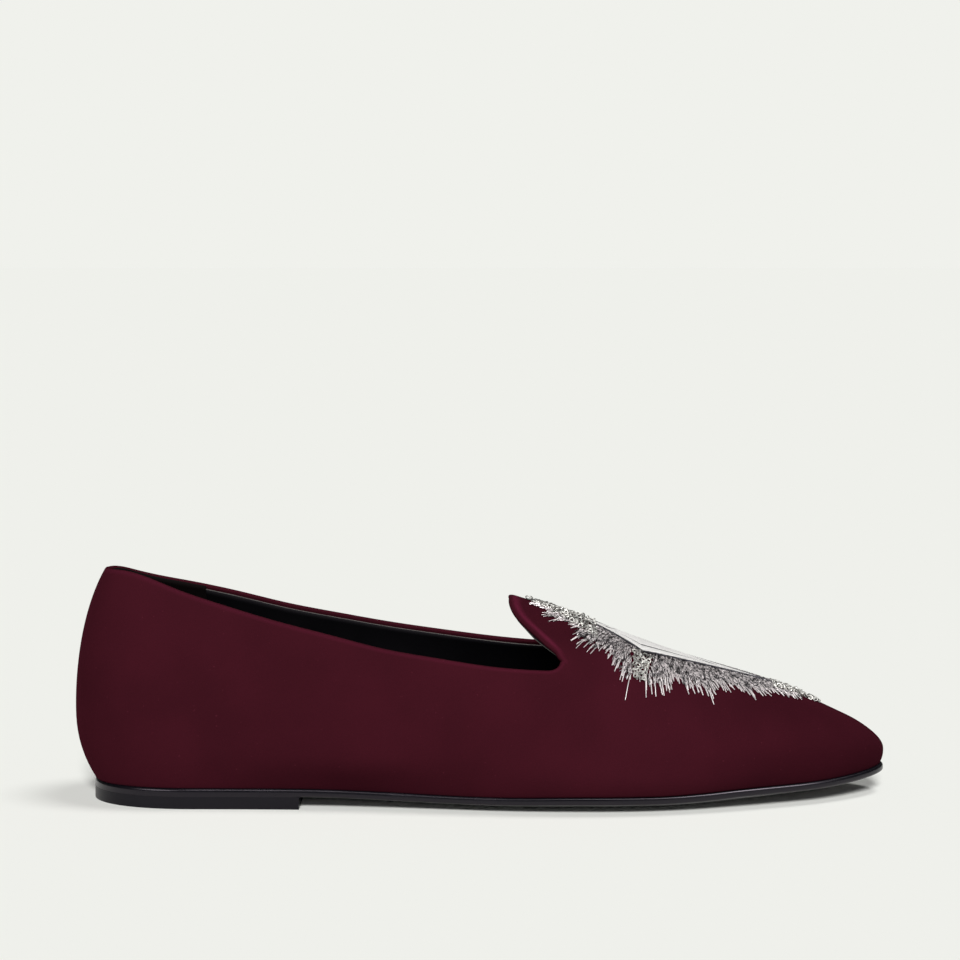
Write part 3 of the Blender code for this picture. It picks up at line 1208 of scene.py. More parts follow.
@dataclass
class Upper:
    """Suede upper with a rolled topline, its leather lining and the grip inside the heel.

    Attributes:
        parting: Height between the collar's border and the lower edge's.
        tab_from: Where the tab starts along the shoe.
        tab_foot: Height where the tab's own roll starts.
        tab_rise: How far above that it is full.
        drop: How far the roll's shoulder comes down.
        lip: How far the roll turns on below its shoulder.
        lip_back: How far it turns back there.
        lower_edge: Steps of the lower edge: how far on, and how far in behind the sole's rim.
        clearance: Room between two layers.
        rim: How far the painted highlight reaches round the topline.
        rim_share: How strong the painted highlight is on the collar, against the tab's 1.
        rim_under: How far below the roll's shoulder it still is.
        waist: Painted shade along the waist's lower edge.
        ball: Painted light over the ball.
        toe_tone: What the toe adds to the painted shading, which darkens below nought.
        toe_from: Where that starts along the shoe, and over what length it comes in.
        toe_top: Height above which it is weaker, and over what height it fades.
        toe_least: Its share there.
        tab_tone: What the tab adds to it, as painted shade.
        tab_blend: Lengths along and up over which that comes in.
        tab_low: Height where it starts.
    """

    last: Last
    ribs: RibCount = RibCount(28, 56, 44, 36)
    lining_ribs: RibCount = RibCount(18, 36, 26, 18)
    grip_ribs: RibCount = RibCount(20, 40, 4, 4)
    parting: float = 24.0
    tab_from: float = 136.0
    tab_foot: float = 48.0
    tab_rise: float = 5.0
    setback: Table = (
        (0.0, 0.5),
        (0.05, 2.1),
        (0.1, 4.2),
        (0.2, 5.4),
        (0.3, 4.8),
        (0.45, 3.0),
        (0.65, 1.8),
        (1.0, 1.7),
    )
    shoulder: float = 1.0
    tab_shoulder: float = 2.0
    drop: float = 0.8
    lip: float = 0.9
    lip_back: float = 0.7
    turn_in: float = 4.0
    roll_steps: int = 6
    turn_in_steps: int = 4
    lower_edge: Table = ((0.25, 0.03), (0.45, 0.2), (0.5, 0.6), (0.5, 2.0))
    clearance: float = 0.05
    lining: float = 0.4
    lining_setback: Table = (
        (0.0, 0.8),
        (0.05, 2.7),
        (0.2, 3.1),
        (0.35, 2.7),
        (0.5, 1.75),
        (0.6, 1.9),
        (0.75, 2.5),
        (1.0, 2.6),
    )
    rim: float = 0.6
    tab_rim: float = 1.2
    rim_share: float = 0.35
    rim_under: float = 0.3
    grip_setback: Table = ((0.0, -0.7), (1.0, -0.7))
    grip_to: float = 41.0
    grip_low: float = 13.0
    grip: float = 0.4
    waist: PaintedShading = PaintedShading(-0.34, 88.0, 26.0, 18.5, 9.0)
    ball: PaintedShading = PaintedShading(0.12, 167.0, 22.0, 30.0, 14.0)
    toe_tone: float = -0.25
    toe_from: tuple[float, float] = (185.0, 50.0)
    toe_top: tuple[float, float] = (24.0, 12.0)
    toe_least: float = 0.55
    tab_tone: float = -0.17
    tab_blend: tuple[float, float] = (10.0, 8.0)
    tab_low: float = 46.0

    def border(self, bm: BMesh, collar: bool) -> list[BMEdge]:
        """Border edges of the opening, or of the lower edge."""
        border = [edge for edge in bm.edges if edge.is_boundary]
        return [edge for edge in border if (edge.verts[0].co.z > self.parting) == collar]

    def on_tab(self, point: Vector) -> float:
        """Share of the tab's own roll at a point of the topline.

        Args:
            point: The point.

        Returns:
            The share, from 0 on the collar to 1 on the tab.
        """
        if point.x <= self.tab_from:
            return 0.0
        return float(ease(np.array((point.z - self.tab_foot) / self.tab_rise)))

    def hem(self, point: Vector) -> list[tuple[float, float]]:
        """Profile of the rolled topline, which has a wider shoulder on the tab.

        Args:
            point: A point of the border.

        Returns:
            Steps as turn_edge takes them.
        """
        shoulder = self.shoulder + (self.tab_shoulder - self.shoulder) * self.on_tab(point)
        turns = [math.pi / 2 * i / self.roll_steps for i in range(1, self.roll_steps + 1)]
        steps = [(shoulder * math.sin(a), self.drop * (1 - math.cos(a))) for a in turns]
        for a in turns[1::2]:
            back, down = self.lip_back * (1 - math.cos(a)), self.lip * math.sin(a)
            steps.append((shoulder - back, self.drop + down))
        end, inner = shoulder - self.lip_back, self.drop + self.lip
        for i in range(1, self.turn_in_steps + 1):
            steps.append((end - self.turn_in * i / self.turn_in_steps, inner))
        return steps

    def tuck(self, _: Vector) -> Table:
        """Profile of the lower edge, tucked in behind the sole's rim."""
        return self.lower_edge

    def build(self, suede: Material, leather: Sequence[Material]) -> None:
        """Builds the three pieces.

        Args:
            suede: Material of the outside.
            leather: Materials of the lining, its cut edge and the heel grip.
        """
        self.build_outside(suede)
        self.build_lining(leather[0], leather[1])
        self.build_grip(leather[2])

    def build_outside(self, suede: Material) -> None:
        """Suede shell, rolled over at the topline and tucked in at the sole.

        Args:
            suede: Its material.
        """
        skin = Skin(self.last, self.ribs, tuck=12, collar=42, ridge=92, setback=self.setback)
        bm = skin.grid()
        collar = self.border(bm, True)
        topline = {vert for edge in collar for vert in edge.verts}
        points = [(vert.co.copy(), vert.normal.copy()) for vert in topline]
        turn_edge(bm, collar, self.hem)
        bm.normal_update()
        turn_edge(bm, self.border(bm, False), self.tuck)
        # Painted highlight round the topline
        self.paint_rim_highlight(bm, points)
        # Painted shade and painted light on the lower wall, toe and tab
        self.paint_shading(bm)
        new_piece("suede_upper", bm, (suede,), "upper", SHARP_ROLL)

    def paint_shading(self, bm: BMesh) -> None:
        """Paints shade on tab, toe and the waist's lower edge, and light over the ball.

        Args:
            bm: The shell, which gets the painted shade and light as a float attribute.
        """
        painted_shading = bm.verts.layers.float.new("painted_shading")
        points = np.array([vert.co for vert in bm.verts])
        along, height = points[:, 0], points[:, 2]
        toe = ease((along - self.toe_from[0]) / self.toe_from[1])
        low = ease((self.toe_top[0] - height) / self.toe_top[1])
        toe = toe * (self.toe_least + (1 - self.toe_least) * low)
        tab = ease((along - self.tab_from) / self.tab_blend[0])
        tab = tab * ease((height - self.tab_low) / self.tab_blend[1])
        # Tone below 1 is painted shade, above 1 painted light
        tone = 1.0 + self.waist.at(along, height) + self.ball.at(along, height)
        tone = tone + self.toe_tone * toe + self.tab_tone * tab
        for vert, value in zip(bm.verts, tone):
            vert[painted_shading] = value

    def paint_rim_highlight(self, bm: BMesh, topline: list[tuple[Vector, Vector]]) -> None:
        """Marks where a highlight is painted: broadly on the tab's roll, thinly on the collar's.

        Args:
            bm: The rolled shell.
            topline: Points and normals of the border before it was rolled.
        """
        tree = KDTree(len(topline))
        for i, (point, _) in enumerate(topline):
            tree.insert(point, i)
        tree.balance()
        # Weight of the painted highlight at each corner
        mark = bm.verts.layers.float.new("rim")
        for vert in bm.verts:
            point, i, distance = tree.find(vert.co)
            tab = self.on_tab(point)
            width = self.rim + (self.tab_rim - self.rim) * tab
            below = (point - vert.co).dot(topline[i][1])
            if distance < width and below < self.drop + self.rim_under:
                strength = self.rim_share + (1 - self.rim_share) * tab
                vert[mark] = strength * (1 - (distance / width) ** 2)

    def inner_shell(self, skin: Skin, depth: float) -> BMesh:
        """A shell that lies a depth inside the outside.

        Args:
            skin: The outside that it follows.
            depth: How far inside it lies.

        Returns:
            The shell as a bmesh in millimetres.
        """
        bm = skin.grid()
        for vert, normal in [(vert, vert.normal.copy()) for vert in bm.verts]:
            vert.co -= normal * depth
        return bm

    def solid(self, piece: Object, thickness: float, rim: int) -> None:
        """Gives a shell its thickness towards the inside, with its own material on the rim.

        Args:
            piece: The shell.
            thickness: Its thickness, in millimetres.
            rim: How far the rim's material lies behind the shell's own in the list.
        """
        wall = piece.modifiers.new("thickness", "SOLIDIFY")
        wall.thickness = thickness * MM
        wall.offset = -1.0
        wall.material_offset_rim = rim

    def build_lining(self, lining: Material, edge: Material) -> None:
        """Leather lining whose cut edge shows below the turned-in suede.

        Args:
            lining: Its material.
            edge: Material of its cut edge.
        """
        edge_at = self.lining_setback
        skin = Skin(self.last, self.lining_ribs, tuck=6, collar=22, ridge=46, setback=edge_at)
        bm = self.inner_shell(skin, self.drop + self.lip + self.clearance)
        piece = new_piece("leather_lining", bm, (lining, edge))
        self.solid(piece, self.lining, 1)

    def build_grip(self, grip: Material) -> None:
        """Heel grip, a thin patch round the inside of the heel that covers the lining's edge.

        Args:
            grip: Its material.
        """
        edge_at = self.grip_setback
        skin = Skin(self.last, self.grip_ribs, tuck=6, collar=26, ridge=30, setback=edge_at)
        bm = self.inner_shell(skin, self.drop + self.lip + self.lining + 2 * self.clearance)
        to, low = self.grip_to, self.grip_low
        beyond = [vert for vert in bm.verts if vert.co.x > to or vert.co.z < low]
        bmesh.ops.delete(bm, geom=beyond, context="VERTS")
        bm.normal_update()
        piece = new_piece("heel_grip", bm, (grip,))
        self.solid(piece, self.grip, 0)


@dataclass
class Bottom:
    """Thin leather sole, low heel and the sock inside.

    Attributes:
        margin: How far the sole stands out past the feather line.
        back: The sole's back end, with tip at the toe.
        breast: Where the heel ends.
        edge_top: Rounding of the sole's upper edge, with edge_bottom below.
        tread_overlap: How far behind the breast the rounding below starts.
        heel_gap: Room between the heel and the sole.
        sock_inset: How far the sock's edge lies inside the feather line.
        shares: Shares of the half width at which a plate's rows run.
    """

    last: Last
    ribs: RibCount = RibCount(24, 40, 30, 30)
    margin: float = 0.9
    back: float = 6.0
    tip: float = 260.2
    breast: float = 73.0
    edge_top: float = 1.15
    edge_bottom: float = 0.7
    tread_overlap: float = 1.5
    heel_round: float = 0.5
    heel_columns: int = 9
    heel_gap: float = 0.02
    sock_inset: float = 2.7
    sock: float = 2.0
    sock_round: float = 0.6
    shares: tuple[float, ...] = (1.0, 0.9, 0.82, 0.74, 0.66, 0.56, 0.44, 0.3, 0.15, 0.0)

    def build(self, sole: Material, heel: Material, sock: Material) -> None:
        """Builds the sole, the heel and the sock.

        Args:
            sole: Material of the sole.
            heel: Material of the heel.
            sock: Material of the sock.
        """
        self.build_sole(sole)
        self.build_heel(heel)
        self.build_sock(sock)

    def build_sole(self, material: Material) -> None:
        """Thin sole, rounded above all round and below ahead of the heel.

        Args:
            material: Its material.
        """
        outline = (self.margin, self.back, self.tip)
        bm = plate(self.last, self.ribs, self.shares, outline, 0.0, self.last.sole_thickness)
        round_corners(bm, self.edge_top, segments=4, chosen=is_upper)
        round_corners(bm, self.edge_bottom, segments=4, chosen=self.is_tread)
        piece = new_piece("leather_sole", bm, (material,), "outsole", SHARP_PLATE)
        piece.modifiers.new("flat_faces", "WEIGHTED_NORMAL").keep_sharp = True

    def is_tread(self, edge: BMEdge) -> bool:
        """Whether an edge borders the sole's underside ahead of the heel."""
        ahead = min(vert.co.x for vert in edge.verts) > self.breast - self.tread_overlap
        return ahead and not is_upper(edge)

    def build_heel(self, material: Material) -> None:
        """Low heel with a straight breast, flush with the sole above it.

        Args:
            material: Its material.
        """
        last = self.last
        places, _ = self.ribs.loop(last)
        half = places[len(places) // 2 :]
        places = np.append(half[half < self.breast] + self.back - last.feather_back, self.breast)
        across = np.linspace(0.0, 1.0, self.heel_columns)

        def place(column: np.ndarray, row: np.ndarray) -> np.ndarray:
            """Points of the heel's underside.

            Args:
                column: Columns of the grid.
                row: Rows of the grid.

            Returns:
                The points, in millimetres.
            """
            along = places[column]
            ends = []
            for side in Side:
                at = np.full_like(along, side.value)
                ends.append(last.rib(along, at, self.margin, self.back, self.tip)[1])
            plan = ends[0] + (ends[1] - ends[0]) * across[row][:, None]
            return np.concatenate((plan, np.zeros((len(along), 1))), -1)

        height = last.heel_seat - self.heel_gap
        bm = thicken(mapped_grid(len(places), len(across), place), height)
        round_corners(bm, self.heel_round, segments=3, chosen=lambda edge: not is_upper(edge))
        piece = new_piece("heel_block", bm, (material,), "heel", SHARP_PLATE)
        piece.modifiers.new("flat_faces", "WEIGHTED_NORMAL").keep_sharp = True

    def build_sock(self, material: Material) -> None:
        """Leather sock over the insole board, with a softened edge.

        Args:
            material: Its material.
        """
        last, inset = self.last, self.sock_inset
        outline = (-inset, last.feather_back + inset, last.feather_tip - inset)
        lift = last.sole_thickness + last.gap
        bm = plate(last, self.ribs, self.shares, outline, lift, self.sock)
        round_corners(bm, self.sock_round, segments=2, chosen=is_upper)
        new_piece("leather_sock", bm, (material,), "insole", SHARP_PLATE)


@dataclass
class Embroidery:
    """Silver burst on the vamp: rays and knots round a white satin-stitched star.

    Attributes:
        front: Reach of the burst from its centre to the toe, with back and side for the others.
        front_power: How full its outline is ahead of the centre, with back_power behind it.
        star_front: Reach of the star, as for the burst.
        gap: Bare suede between the star and the rays.
        overrun: How far the rays start past the star's points.
        fan_front: How far the last rays lean, in degrees, with fan_back behind the centre.
        thread: Radius of a seed stitch, with tip_thread for a straight one.
        field_share: Width of the knots' fields at the burst's ends, against its own.
        knot: Radius of a knot's ring, with knot_thread for its thread.
        knot_lift: Height of the knots, with cluster_lift beside the star.
        cluster_half: Half width of the knots beside the star, which narrows by cluster_taper.
        cluster_rows: First, last and step of their rows, counted out from the star.
        cluster_pitch: Distance between their columns, which close up by cluster_closing.
        pad_outer: Height of the star's outer row over its edge, with pad_inner at its middle.
        star_grow: How much further than a distance its points and its sides grow by it.
        stitch_slant: How the star's stitches slant.
        cord: Radius of the cord, with its lift and cord_grow, its distance from the star.
    """

    last: Last
    centre: float = 181.0
    front: float = 59.0
    back: float = 36.5
    side: float = 33.0
    front_power: float = 1.3
    back_power: float = 1.45
    star_front: float = 42.0
    star_back: float = 20.0
    star_side: float = 13.0
    star_power: float = 0.88
    gap: float = 2.4
    overrun: float = 5.0
    rays: int = 150
    thread: float = 0.15
    tip_thread: float = 0.2
    knot: float = 0.7
    knot_thread: float = 0.22
    knot_pitch: float = 1.5
    knots_front: float = 43.0
    knots_back: float = 15.0
    knot_sides: int = 8
    knot_lift: float = 0.55
    field_share: float = 0.75
    field_power: float = 0.85
    cluster_gap: float = 2.4
    cluster_reach: float = 15.0
    cluster_half: float = 3.9
    cluster_taper: float = 0.11
    cluster_lean: float = -0.12
    cluster_lift: float = 0.6
    cluster_rows: tuple[float, float, float] = (0.5, 14.0, 1.3)
    cluster_columns: tuple[float, ...] = (-1.5, -0.5, 0.5, 1.5)
    cluster_pitch: float = 1.75
    cluster_closing: float = 0.06
    fan_front: float = 52.0
    fan_back: float = 72.0
    fan_power: float = 0.8
    stitch_pitch: float = 0.95
    stitch_tones: tuple[float, ...] = (-0.3, 0.0, 0.3, 0.7, 1.2)
    stitch_slant: float = 0.8
    star_spokes: int = 200
    star_rings: int = 25
    star_grow: tuple[float, float] = (2.4, 1.8)
    pad: float = 0.1
    pad_outer: float = 0.6
    pad_inner: float = 0.9
    cord: float = 0.38
    cord_lift: float = 0.35
    cord_grow: float = 0.5
    cord_points: int = 361
    cord_twists: int = 90
    weld: float = 0.0005

    def build(self, metals: Sequence[Material], floss: Material) -> None:
        """Builds the rays, the star with its cord, and the knots.

        Args:
            metals: Materials of the rays, the cord and the knots.
            floss: Material of the star.
        """
        rng = np.random.default_rng(SEED)
        self.build_rays(rng, metals[0])
        self.build_star(floss)
        self.build_cord(metals[1])
        self.build_knots(rng, metals[2])

    def lozenge(self, x: np.ndarray, y: np.ndarray) -> np.ndarray:
        """Value that is 1 on the burst's outline and less inside it.

        Args:
            x: Distance from the burst's middle towards the toe.
            y: Distance from its axis.

        Returns:
            The values.
        """
        reach = np.where(x > 0, self.front, self.back)
        power = np.where(x > 0, self.front_power, self.back_power)
        return (np.abs(x) / reach) ** power + (np.abs(y) / self.side) ** power

    def end_half(self, x: np.ndarray) -> np.ndarray:
        """Half width of the field of knots at an end of the burst.

        Args:
            x: Distance from the burst's middle towards the toe.

        Returns:
            The half widths, nought between the two ends.
        """
        reach = np.where(x > 0, self.front, self.back)
        left = np.maximum(1 - np.abs(x) / reach, 0.0)
        half = self.field_share * self.side * left**self.field_power
        return np.where((x > self.knots_front) | (x < -self.knots_back), half, 0.0)

    def under_knots(self, x: float, y: float) -> bool:
        """Whether a point lies under the knots at an end or beside the star's side point.

        Args:
            x: Distance from the burst's middle towards the toe.
            y: Distance from its axis.

        Returns:
            True where no ray's stitch is needed.
        """
        out = abs(y) - self.star_side - self.cluster_gap
        half = self.cluster_half - self.cluster_taper * out
        beside = 0.0 < out < self.cluster_reach and abs(x - self.cluster_lean * out) < half
        return beside or abs(y) < float(self.end_half(np.array(x)))

    def star_half(self, x: np.ndarray) -> np.ndarray:
        """Half width of the star.

        Args:
            x: Distance from the burst's middle towards the toe.

        Returns:
            The half widths, nought past its points.
        """
        reach = np.where(x > 0, self.star_front, self.star_back)
        left = 1 - np.clip(np.abs(x) / reach, 0.0, 1.0) ** self.star_power
        return self.star_side * left ** (1 / self.star_power)

    def lay(self, x: np.ndarray, y: np.ndarray, lift: np.ndarray) -> tuple[np.ndarray, np.ndarray]:
        """Lays plan points on the vamp.

        Args:
            x: Distance from the burst's middle towards the toe.
            y: Distance from its axis.
            lift: Height above the suede.

        Returns:
            The points and the vamp's normals there.
        """
        along = self.centre + x
        across = self.last.curves["swing"](along) + y
        normal = self.last.over_normal(along, across)
        return self.last.over(along, across) + normal * lift[..., None], normal

    def tubes(
        self, paths: np.ndarray, ups: np.ndarray, radius: np.ndarray, tone: np.ndarray, sides: int
    ) -> BMesh:
        """Many thin round threads in one mesh.

        Args:
            paths: Points of each thread, threads by points by 3.
            ups: A direction across each thread at its points.
            radius: Radius at each point.
            tone: Shade at each point.
            sides: Faces round a thread.

        Returns:
            The bmesh, with the tone as its attribute "shade".
        """
        points, columns = radius.shape[1], radius.size
        ahead = unit(np.gradient(paths, axis=1))
        aside = unit(np.cross(ahead, ups))
        above = np.cross(aside, ahead)
        path, aside, above = (item.reshape(-1, 3) for item in (paths, aside, above))
        bm, column, row = numbered_grid(columns, sides + 1)
        shade = bm.verts.layers.float.new("shade")
        turn = 2 * math.pi * (row % sides) / sides
        ring = aside[column] * np.cos(turn)[:, None] + above[column] * np.sin(turn)[:, None]
        place = path[column] + ring * radius.reshape(-1)[column][:, None]
        for vert, point, grey in zip(bm.verts, place, tone.reshape(-1)[column]):
            vert.co = point
            vert[shade] = grey
        bm.verts.index_update()
        last_point = column % points == points - 1
        first_point = column % points == 0
        between = []
        for face in bm.faces:
            corners = [vert.index for vert in face.verts]
            if any(last_point[i] for i in corners) and any(first_point[i] for i in corners):
                between.append(face)
        bmesh.ops.delete(bm, geom=between, context="FACES")
        bmesh.ops.remove_doubles(bm, verts=bm.verts, dist=self.weld)
        bmesh.ops.recalc_face_normals(bm, faces=bm.faces)
        return bm

    def ray_lines(self, rng: np.random.Generator) -> np.ndarray:
        """Rays from the star to the burst's outline.

        Args:
            rng: Source of the threads' unevenness.

        Returns:
            Rows of start x and y, direction x and y, and length.
        """
        ends = (
            (1.0, self.star_front, self.rays, self.fan_front),
            (-1.0, self.star_back, self.rays * 2 // 3, self.fan_back),
        )
        lines = []
        # Each end of each side is worked in two rounds
        for side, (sign, star, count, fan), _ in product(Side, ends, range(2)):
            share = (np.arange(count) + rng.random(count)) / count
            x = sign * share * (star + self.overrun)
            y = self.star_half(x) + self.gap
            slant = math.pi / 2 - math.radians(fan) * share**self.fan_power
            slant = slant + rng.normal(0.0, 0.04, count)
            dx, dy = sign * np.cos(slant), np.sin(slant)
            far = np.full(count, self.front)
            full = last_place(
                np.zeros(count), far, lambda at: self.lozenge(x + dx * at, y + dy * at) < 1
            )
            # Two waves and chance make the edge ragged, and a few rays stand out of it
            wave = 0.13 * np.sin(share * 22 + sign) + 0.08 * np.sin(share * 57 + 2)
            length = full * (0.88 + wave + rng.normal(0.0, 0.06, count))
            length = length + np.where(rng.random(count) < 0.06, 2.5, 0.0)
            lines.append(np.stack((x, side.value * y, dx, side.value * dy, length), -1))
        return np.concatenate(lines)

    def build_rays(self, rng: np.random.Generator, material: Material) -> None:
        """Seed stitches thick round the star, and straight stitches out to a ragged edge.

        Args:
            rng: Source of their unevenness.
            material: Their material.
        """
        rows = []
        for i, (x, y, dx, dy, length) in enumerate(self.ray_lines(rng)):
            inner = length * rng.uniform(0.7, 0.9)
            # No two seed stitches along a ray have the same slant, length, place or tone
            for at in np.arange(rng.uniform(0.0, 0.6), inner, self.stitch_pitch):
                slant = math.atan2(dy, dx) + rng.normal(0.0, 0.25)
                half = rng.uniform(0.6, 1.4)
                ahead = np.array((math.cos(slant), math.sin(slant))) * half
                middle = np.array((x + dx * at, y + dy * at)) + rng.normal(0.0, 0.2, 2)
                tone = rng.choice(self.stitch_tones)
                if not self.under_knots(*middle):
                    rows.append((*(middle - ahead), *(middle + ahead), self.thread, tone))
            if i % 3 == 0:
                start = inner - rng.uniform(1.0, 3.0)
                turn = rng.normal(0.0, 0.05) * (length - start)
                near = (x + dx * start, y + dy * start)
                far = (x + dx * length - dy * turn, y + dy * length + dx * turn)
                rows.append((*near, *far, self.tip_thread, rng.uniform(0.7, 1.2)))
        # Each stitch is a low arch of three points
        x0, y0, x1, y1, thread, tone = np.array(rows).T
        step = np.linspace(0.0, 1.0, 3)
        x = x0[:, None] + (x1 - x0)[:, None] * step
        y = y0[:, None] + (y1 - y0)[:, None] * step
        height = 0.2 + rng.random(len(x0)) * 0.45
        lift = 0.05 + height[:, None] * np.array((0.2, 1.0, 0.2))
        points, normals = self.lay(x.reshape(-1), y.reshape(-1), lift.reshape(-1))
        radius = (thread * (0.85 + 0.3 * rng.random(len(x0))))[:, None] * np.array((0.7, 1.0, 0.8))
        shape = (len(x0), 3, 3)
        shades = tone[:, None] + np.array((-0.1, 0.0, 0.1))
        bm = self.tubes(points.reshape(shape), normals.reshape(shape), radius, shades, sides=3)
        new_piece("silver_rays", bm, (material,), "emblem", NEVER_SHARP)

    def star_outline(self, turn: np.ndarray, grow: float) -> tuple[np.ndarray, np.ndarray]:
        """Plan points of the star's outline.

        Args:
            turn: Angle round the star.
            grow: How far outside the star the outline runs.

        Returns:
            Distances from the burst's middle and from its axis.
        """
        power = 2 / self.star_power
        ahead = np.where(np.cos(turn) > 0, self.star_front, self.star_back)
        ahead = ahead + self.star_grow[0] * grow
        aside = self.star_side + self.star_grow[1] * grow
        x = ahead * np.sign(np.cos(turn)) * np.abs(np.cos(turn)) ** power
        y = aside * np.sign(np.sin(turn)) * np.abs(np.sin(turn)) ** power
        return x, y

    def build_star(self, material: Material) -> None:
        """Padded four-point star, worked in an outer and an inner row.

        Args:
            material: Its material.
        """
        spokes, rings = self.star_spokes, self.star_rings
        edge_x, edge_y = self.star_outline(2 * math.pi * np.arange(spokes + 1) / spokes, 0.0)

        def place(column: np.ndarray, row: np.ndarray) -> np.ndarray:
            """Points of the star's face.

            Args:
                column: Columns of the grid.
                row: Rows of the grid.

            Returns:
                The points, in millimetres.
            """
            share = row / rings
            past = np.clip((share - STAR_ROW) / (1 - STAR_ROW), 0.0, 1.0)
            within = np.clip(share / STAR_ROW, 0.0, 1.0)
            outer = self.pad_outer * np.sin(math.pi * past) ** 0.6
            inner = self.pad_inner * np.cos(math.pi / 2 * within) ** 0.7
            x, y = edge_x[column] * share, edge_y[column] * share
            return self.lay(x, y, self.pad + outer + inner)[0]

        bm = mapped_grid(spokes + 1, rings + 1, place)
        stitch = bm.verts.layers.float.new("stitch")
        across = bm.verts.layers.float.new("share")
        power = self.star_power
        for vert in bm.verts:
            x = vert.co.x - self.centre
            y = vert.co.y - float(self.last.curves["swing"](np.array(vert.co.x)))
            ahead = abs(x) / (self.star_front if x > 0 else self.star_back)
            aside = abs(y) / self.star_side
            arm, width = (abs(x), abs(y)) if ahead > aside else (abs(y), abs(x))
            vert[stitch] = arm + self.stitch_slant * width
            vert[across] = (ahead**power + aside**power) ** (1 / power)
        new_piece("satin_star", bm, (material,), None, NEVER_SHARP)

    def build_cord(self, material: Material) -> None:
        """Dark silver cord couched round the star.

        Args:
            material: Its material.
        """
        count = self.cord_points
        turn = 2 * math.pi * np.arange(count) / (count - 1)
        x, y = self.star_outline(turn, self.cord_grow)
        points, normals = self.lay(x, y, np.full(count, self.cord_lift))
        radius = np.full((1, count), self.cord)
        tone = 0.3 + 0.25 * np.sin(turn * self.cord_twists)[None]
        bm = self.tubes(points[None], normals[None], radius, tone, sides=6)
        new_piece("couched_cord", bm, (material,), None, NEVER_SHARP)

    def knot_spots(self, rng: np.random.Generator) -> np.ndarray:
        """Where the knots sit: both ends of the burst and beside the star's side points.

        Args:
            rng: Source of their unevenness.

        Returns:
            Rows of x, y and height above the suede.
        """
        spots = []
        pitch = self.knot_pitch
        ends = ((1.0, self.front, self.knots_front), (-1.0, self.back, self.knots_back))
        for sign, reach, start in ends:
            for i, x in enumerate(np.arange(start + 0.01, reach + 0.3, pitch)):
                half = float(self.end_half(np.array(sign * x)))
                for y in np.arange(-half - 0.5 * pitch * (i % 2), half + 0.6, pitch):
                    spots.append((sign * x, y, self.knot_lift))
        for out in np.arange(*self.cluster_rows):
            apart = self.cluster_pitch - self.cluster_closing * out
            for column in self.cluster_columns:
                x = column * apart + self.cluster_lean * out
                y = self.star_side + self.cluster_gap + out
                for side in Side:
                    spots.append((x, side.value * y, self.cluster_lift))
        spot = np.array(spots)
        spot += rng.normal(0.0, 0.15, spot.shape)
        return spot

    def build_knots(self, rng: np.random.Generator, material: Material) -> None:
        """Bullion knots, each a small ring of thick thread.

        Args:
            rng: Source of their unevenness.
            material: Their material.
        """
        spot = self.knot_spots(rng)
        middle, normal = self.lay(*spot.T)
        tilt = unit(normal + rng.normal(0.0, 0.55, normal.shape))
        # Any direction off the normals will do to start the rings
        across = unit(np.cross(tilt, np.array((0.3, 1.0, 0.2))))
        other = np.cross(tilt, across)
        count = self.knot_sides + 1
        turn = 2 * math.pi * np.arange(count) / self.knot_sides
        ring = across[:, None] * np.cos(turn)[:, None] + other[:, None] * np.sin(turn)[:, None]
        size = self.knot * (0.85 + 0.3 * rng.random(len(spot)))
        paths = middle[:, None] + ring * size[:, None, None]
        ups = np.repeat(tilt[:, None], count, axis=1)
        radius = np.full(paths.shape[:2], self.knot_thread)
        tone = np.repeat(rng.random((len(spot), 1)), count, axis=1)
        bm = self.tubes(paths, ups, radius, tone, sides=4)
        new_piece("bullion_knots", bm, (material,), None, NEVER_SHARP)


@dataclass(frozen=True)
class Softbox:
    """Far, even light.

    Attributes:
        name: The lamp's name.
        reach: What it shows on.
        energy: Its strength.
        turn: Its bearing from the lateral side towards the toe, in degrees.
        rise: Its height above the floor, in degrees.
        spread: The angle that it takes up, in degrees.
    """

    name: str
    reach: Reach
    energy: float
    turn: float
    rise: float
    spread: float = 30.0

    def add(self, floor: Object) -> None:
        """Adds the lamp, linked to the floor alone or to all but the floor.

        Args:
            floor: The floor.
        """
        light = bpy.data.lights.new(self.name, "SUN")
        light.energy = self.energy
        light.angle = math.radians(self.spread)
        lamp = bpy.data.objects.new(self.name, light)
        lamp.rotation_euler = (math.radians(90 - self.rise), 0.0, math.radians(self.turn))
        lamp.visible_diffuse = self.reach is not Reach.GLOSSY
        lamp.visible_glossy = self.reach is not Reach.MATT
        receivers = bpy.data.collections.new(f"{self.name}_receivers")
        receivers.objects.link(floor)
        state = "INCLUDE" if self.reach is Reach.FLOOR else "EXCLUDE"
        receivers.collection_objects[0].light_linking.link_state = state
        lamp.light_linking.receiver_collection = receivers
        bpy.context.scene.collection.objects.link(lamp)


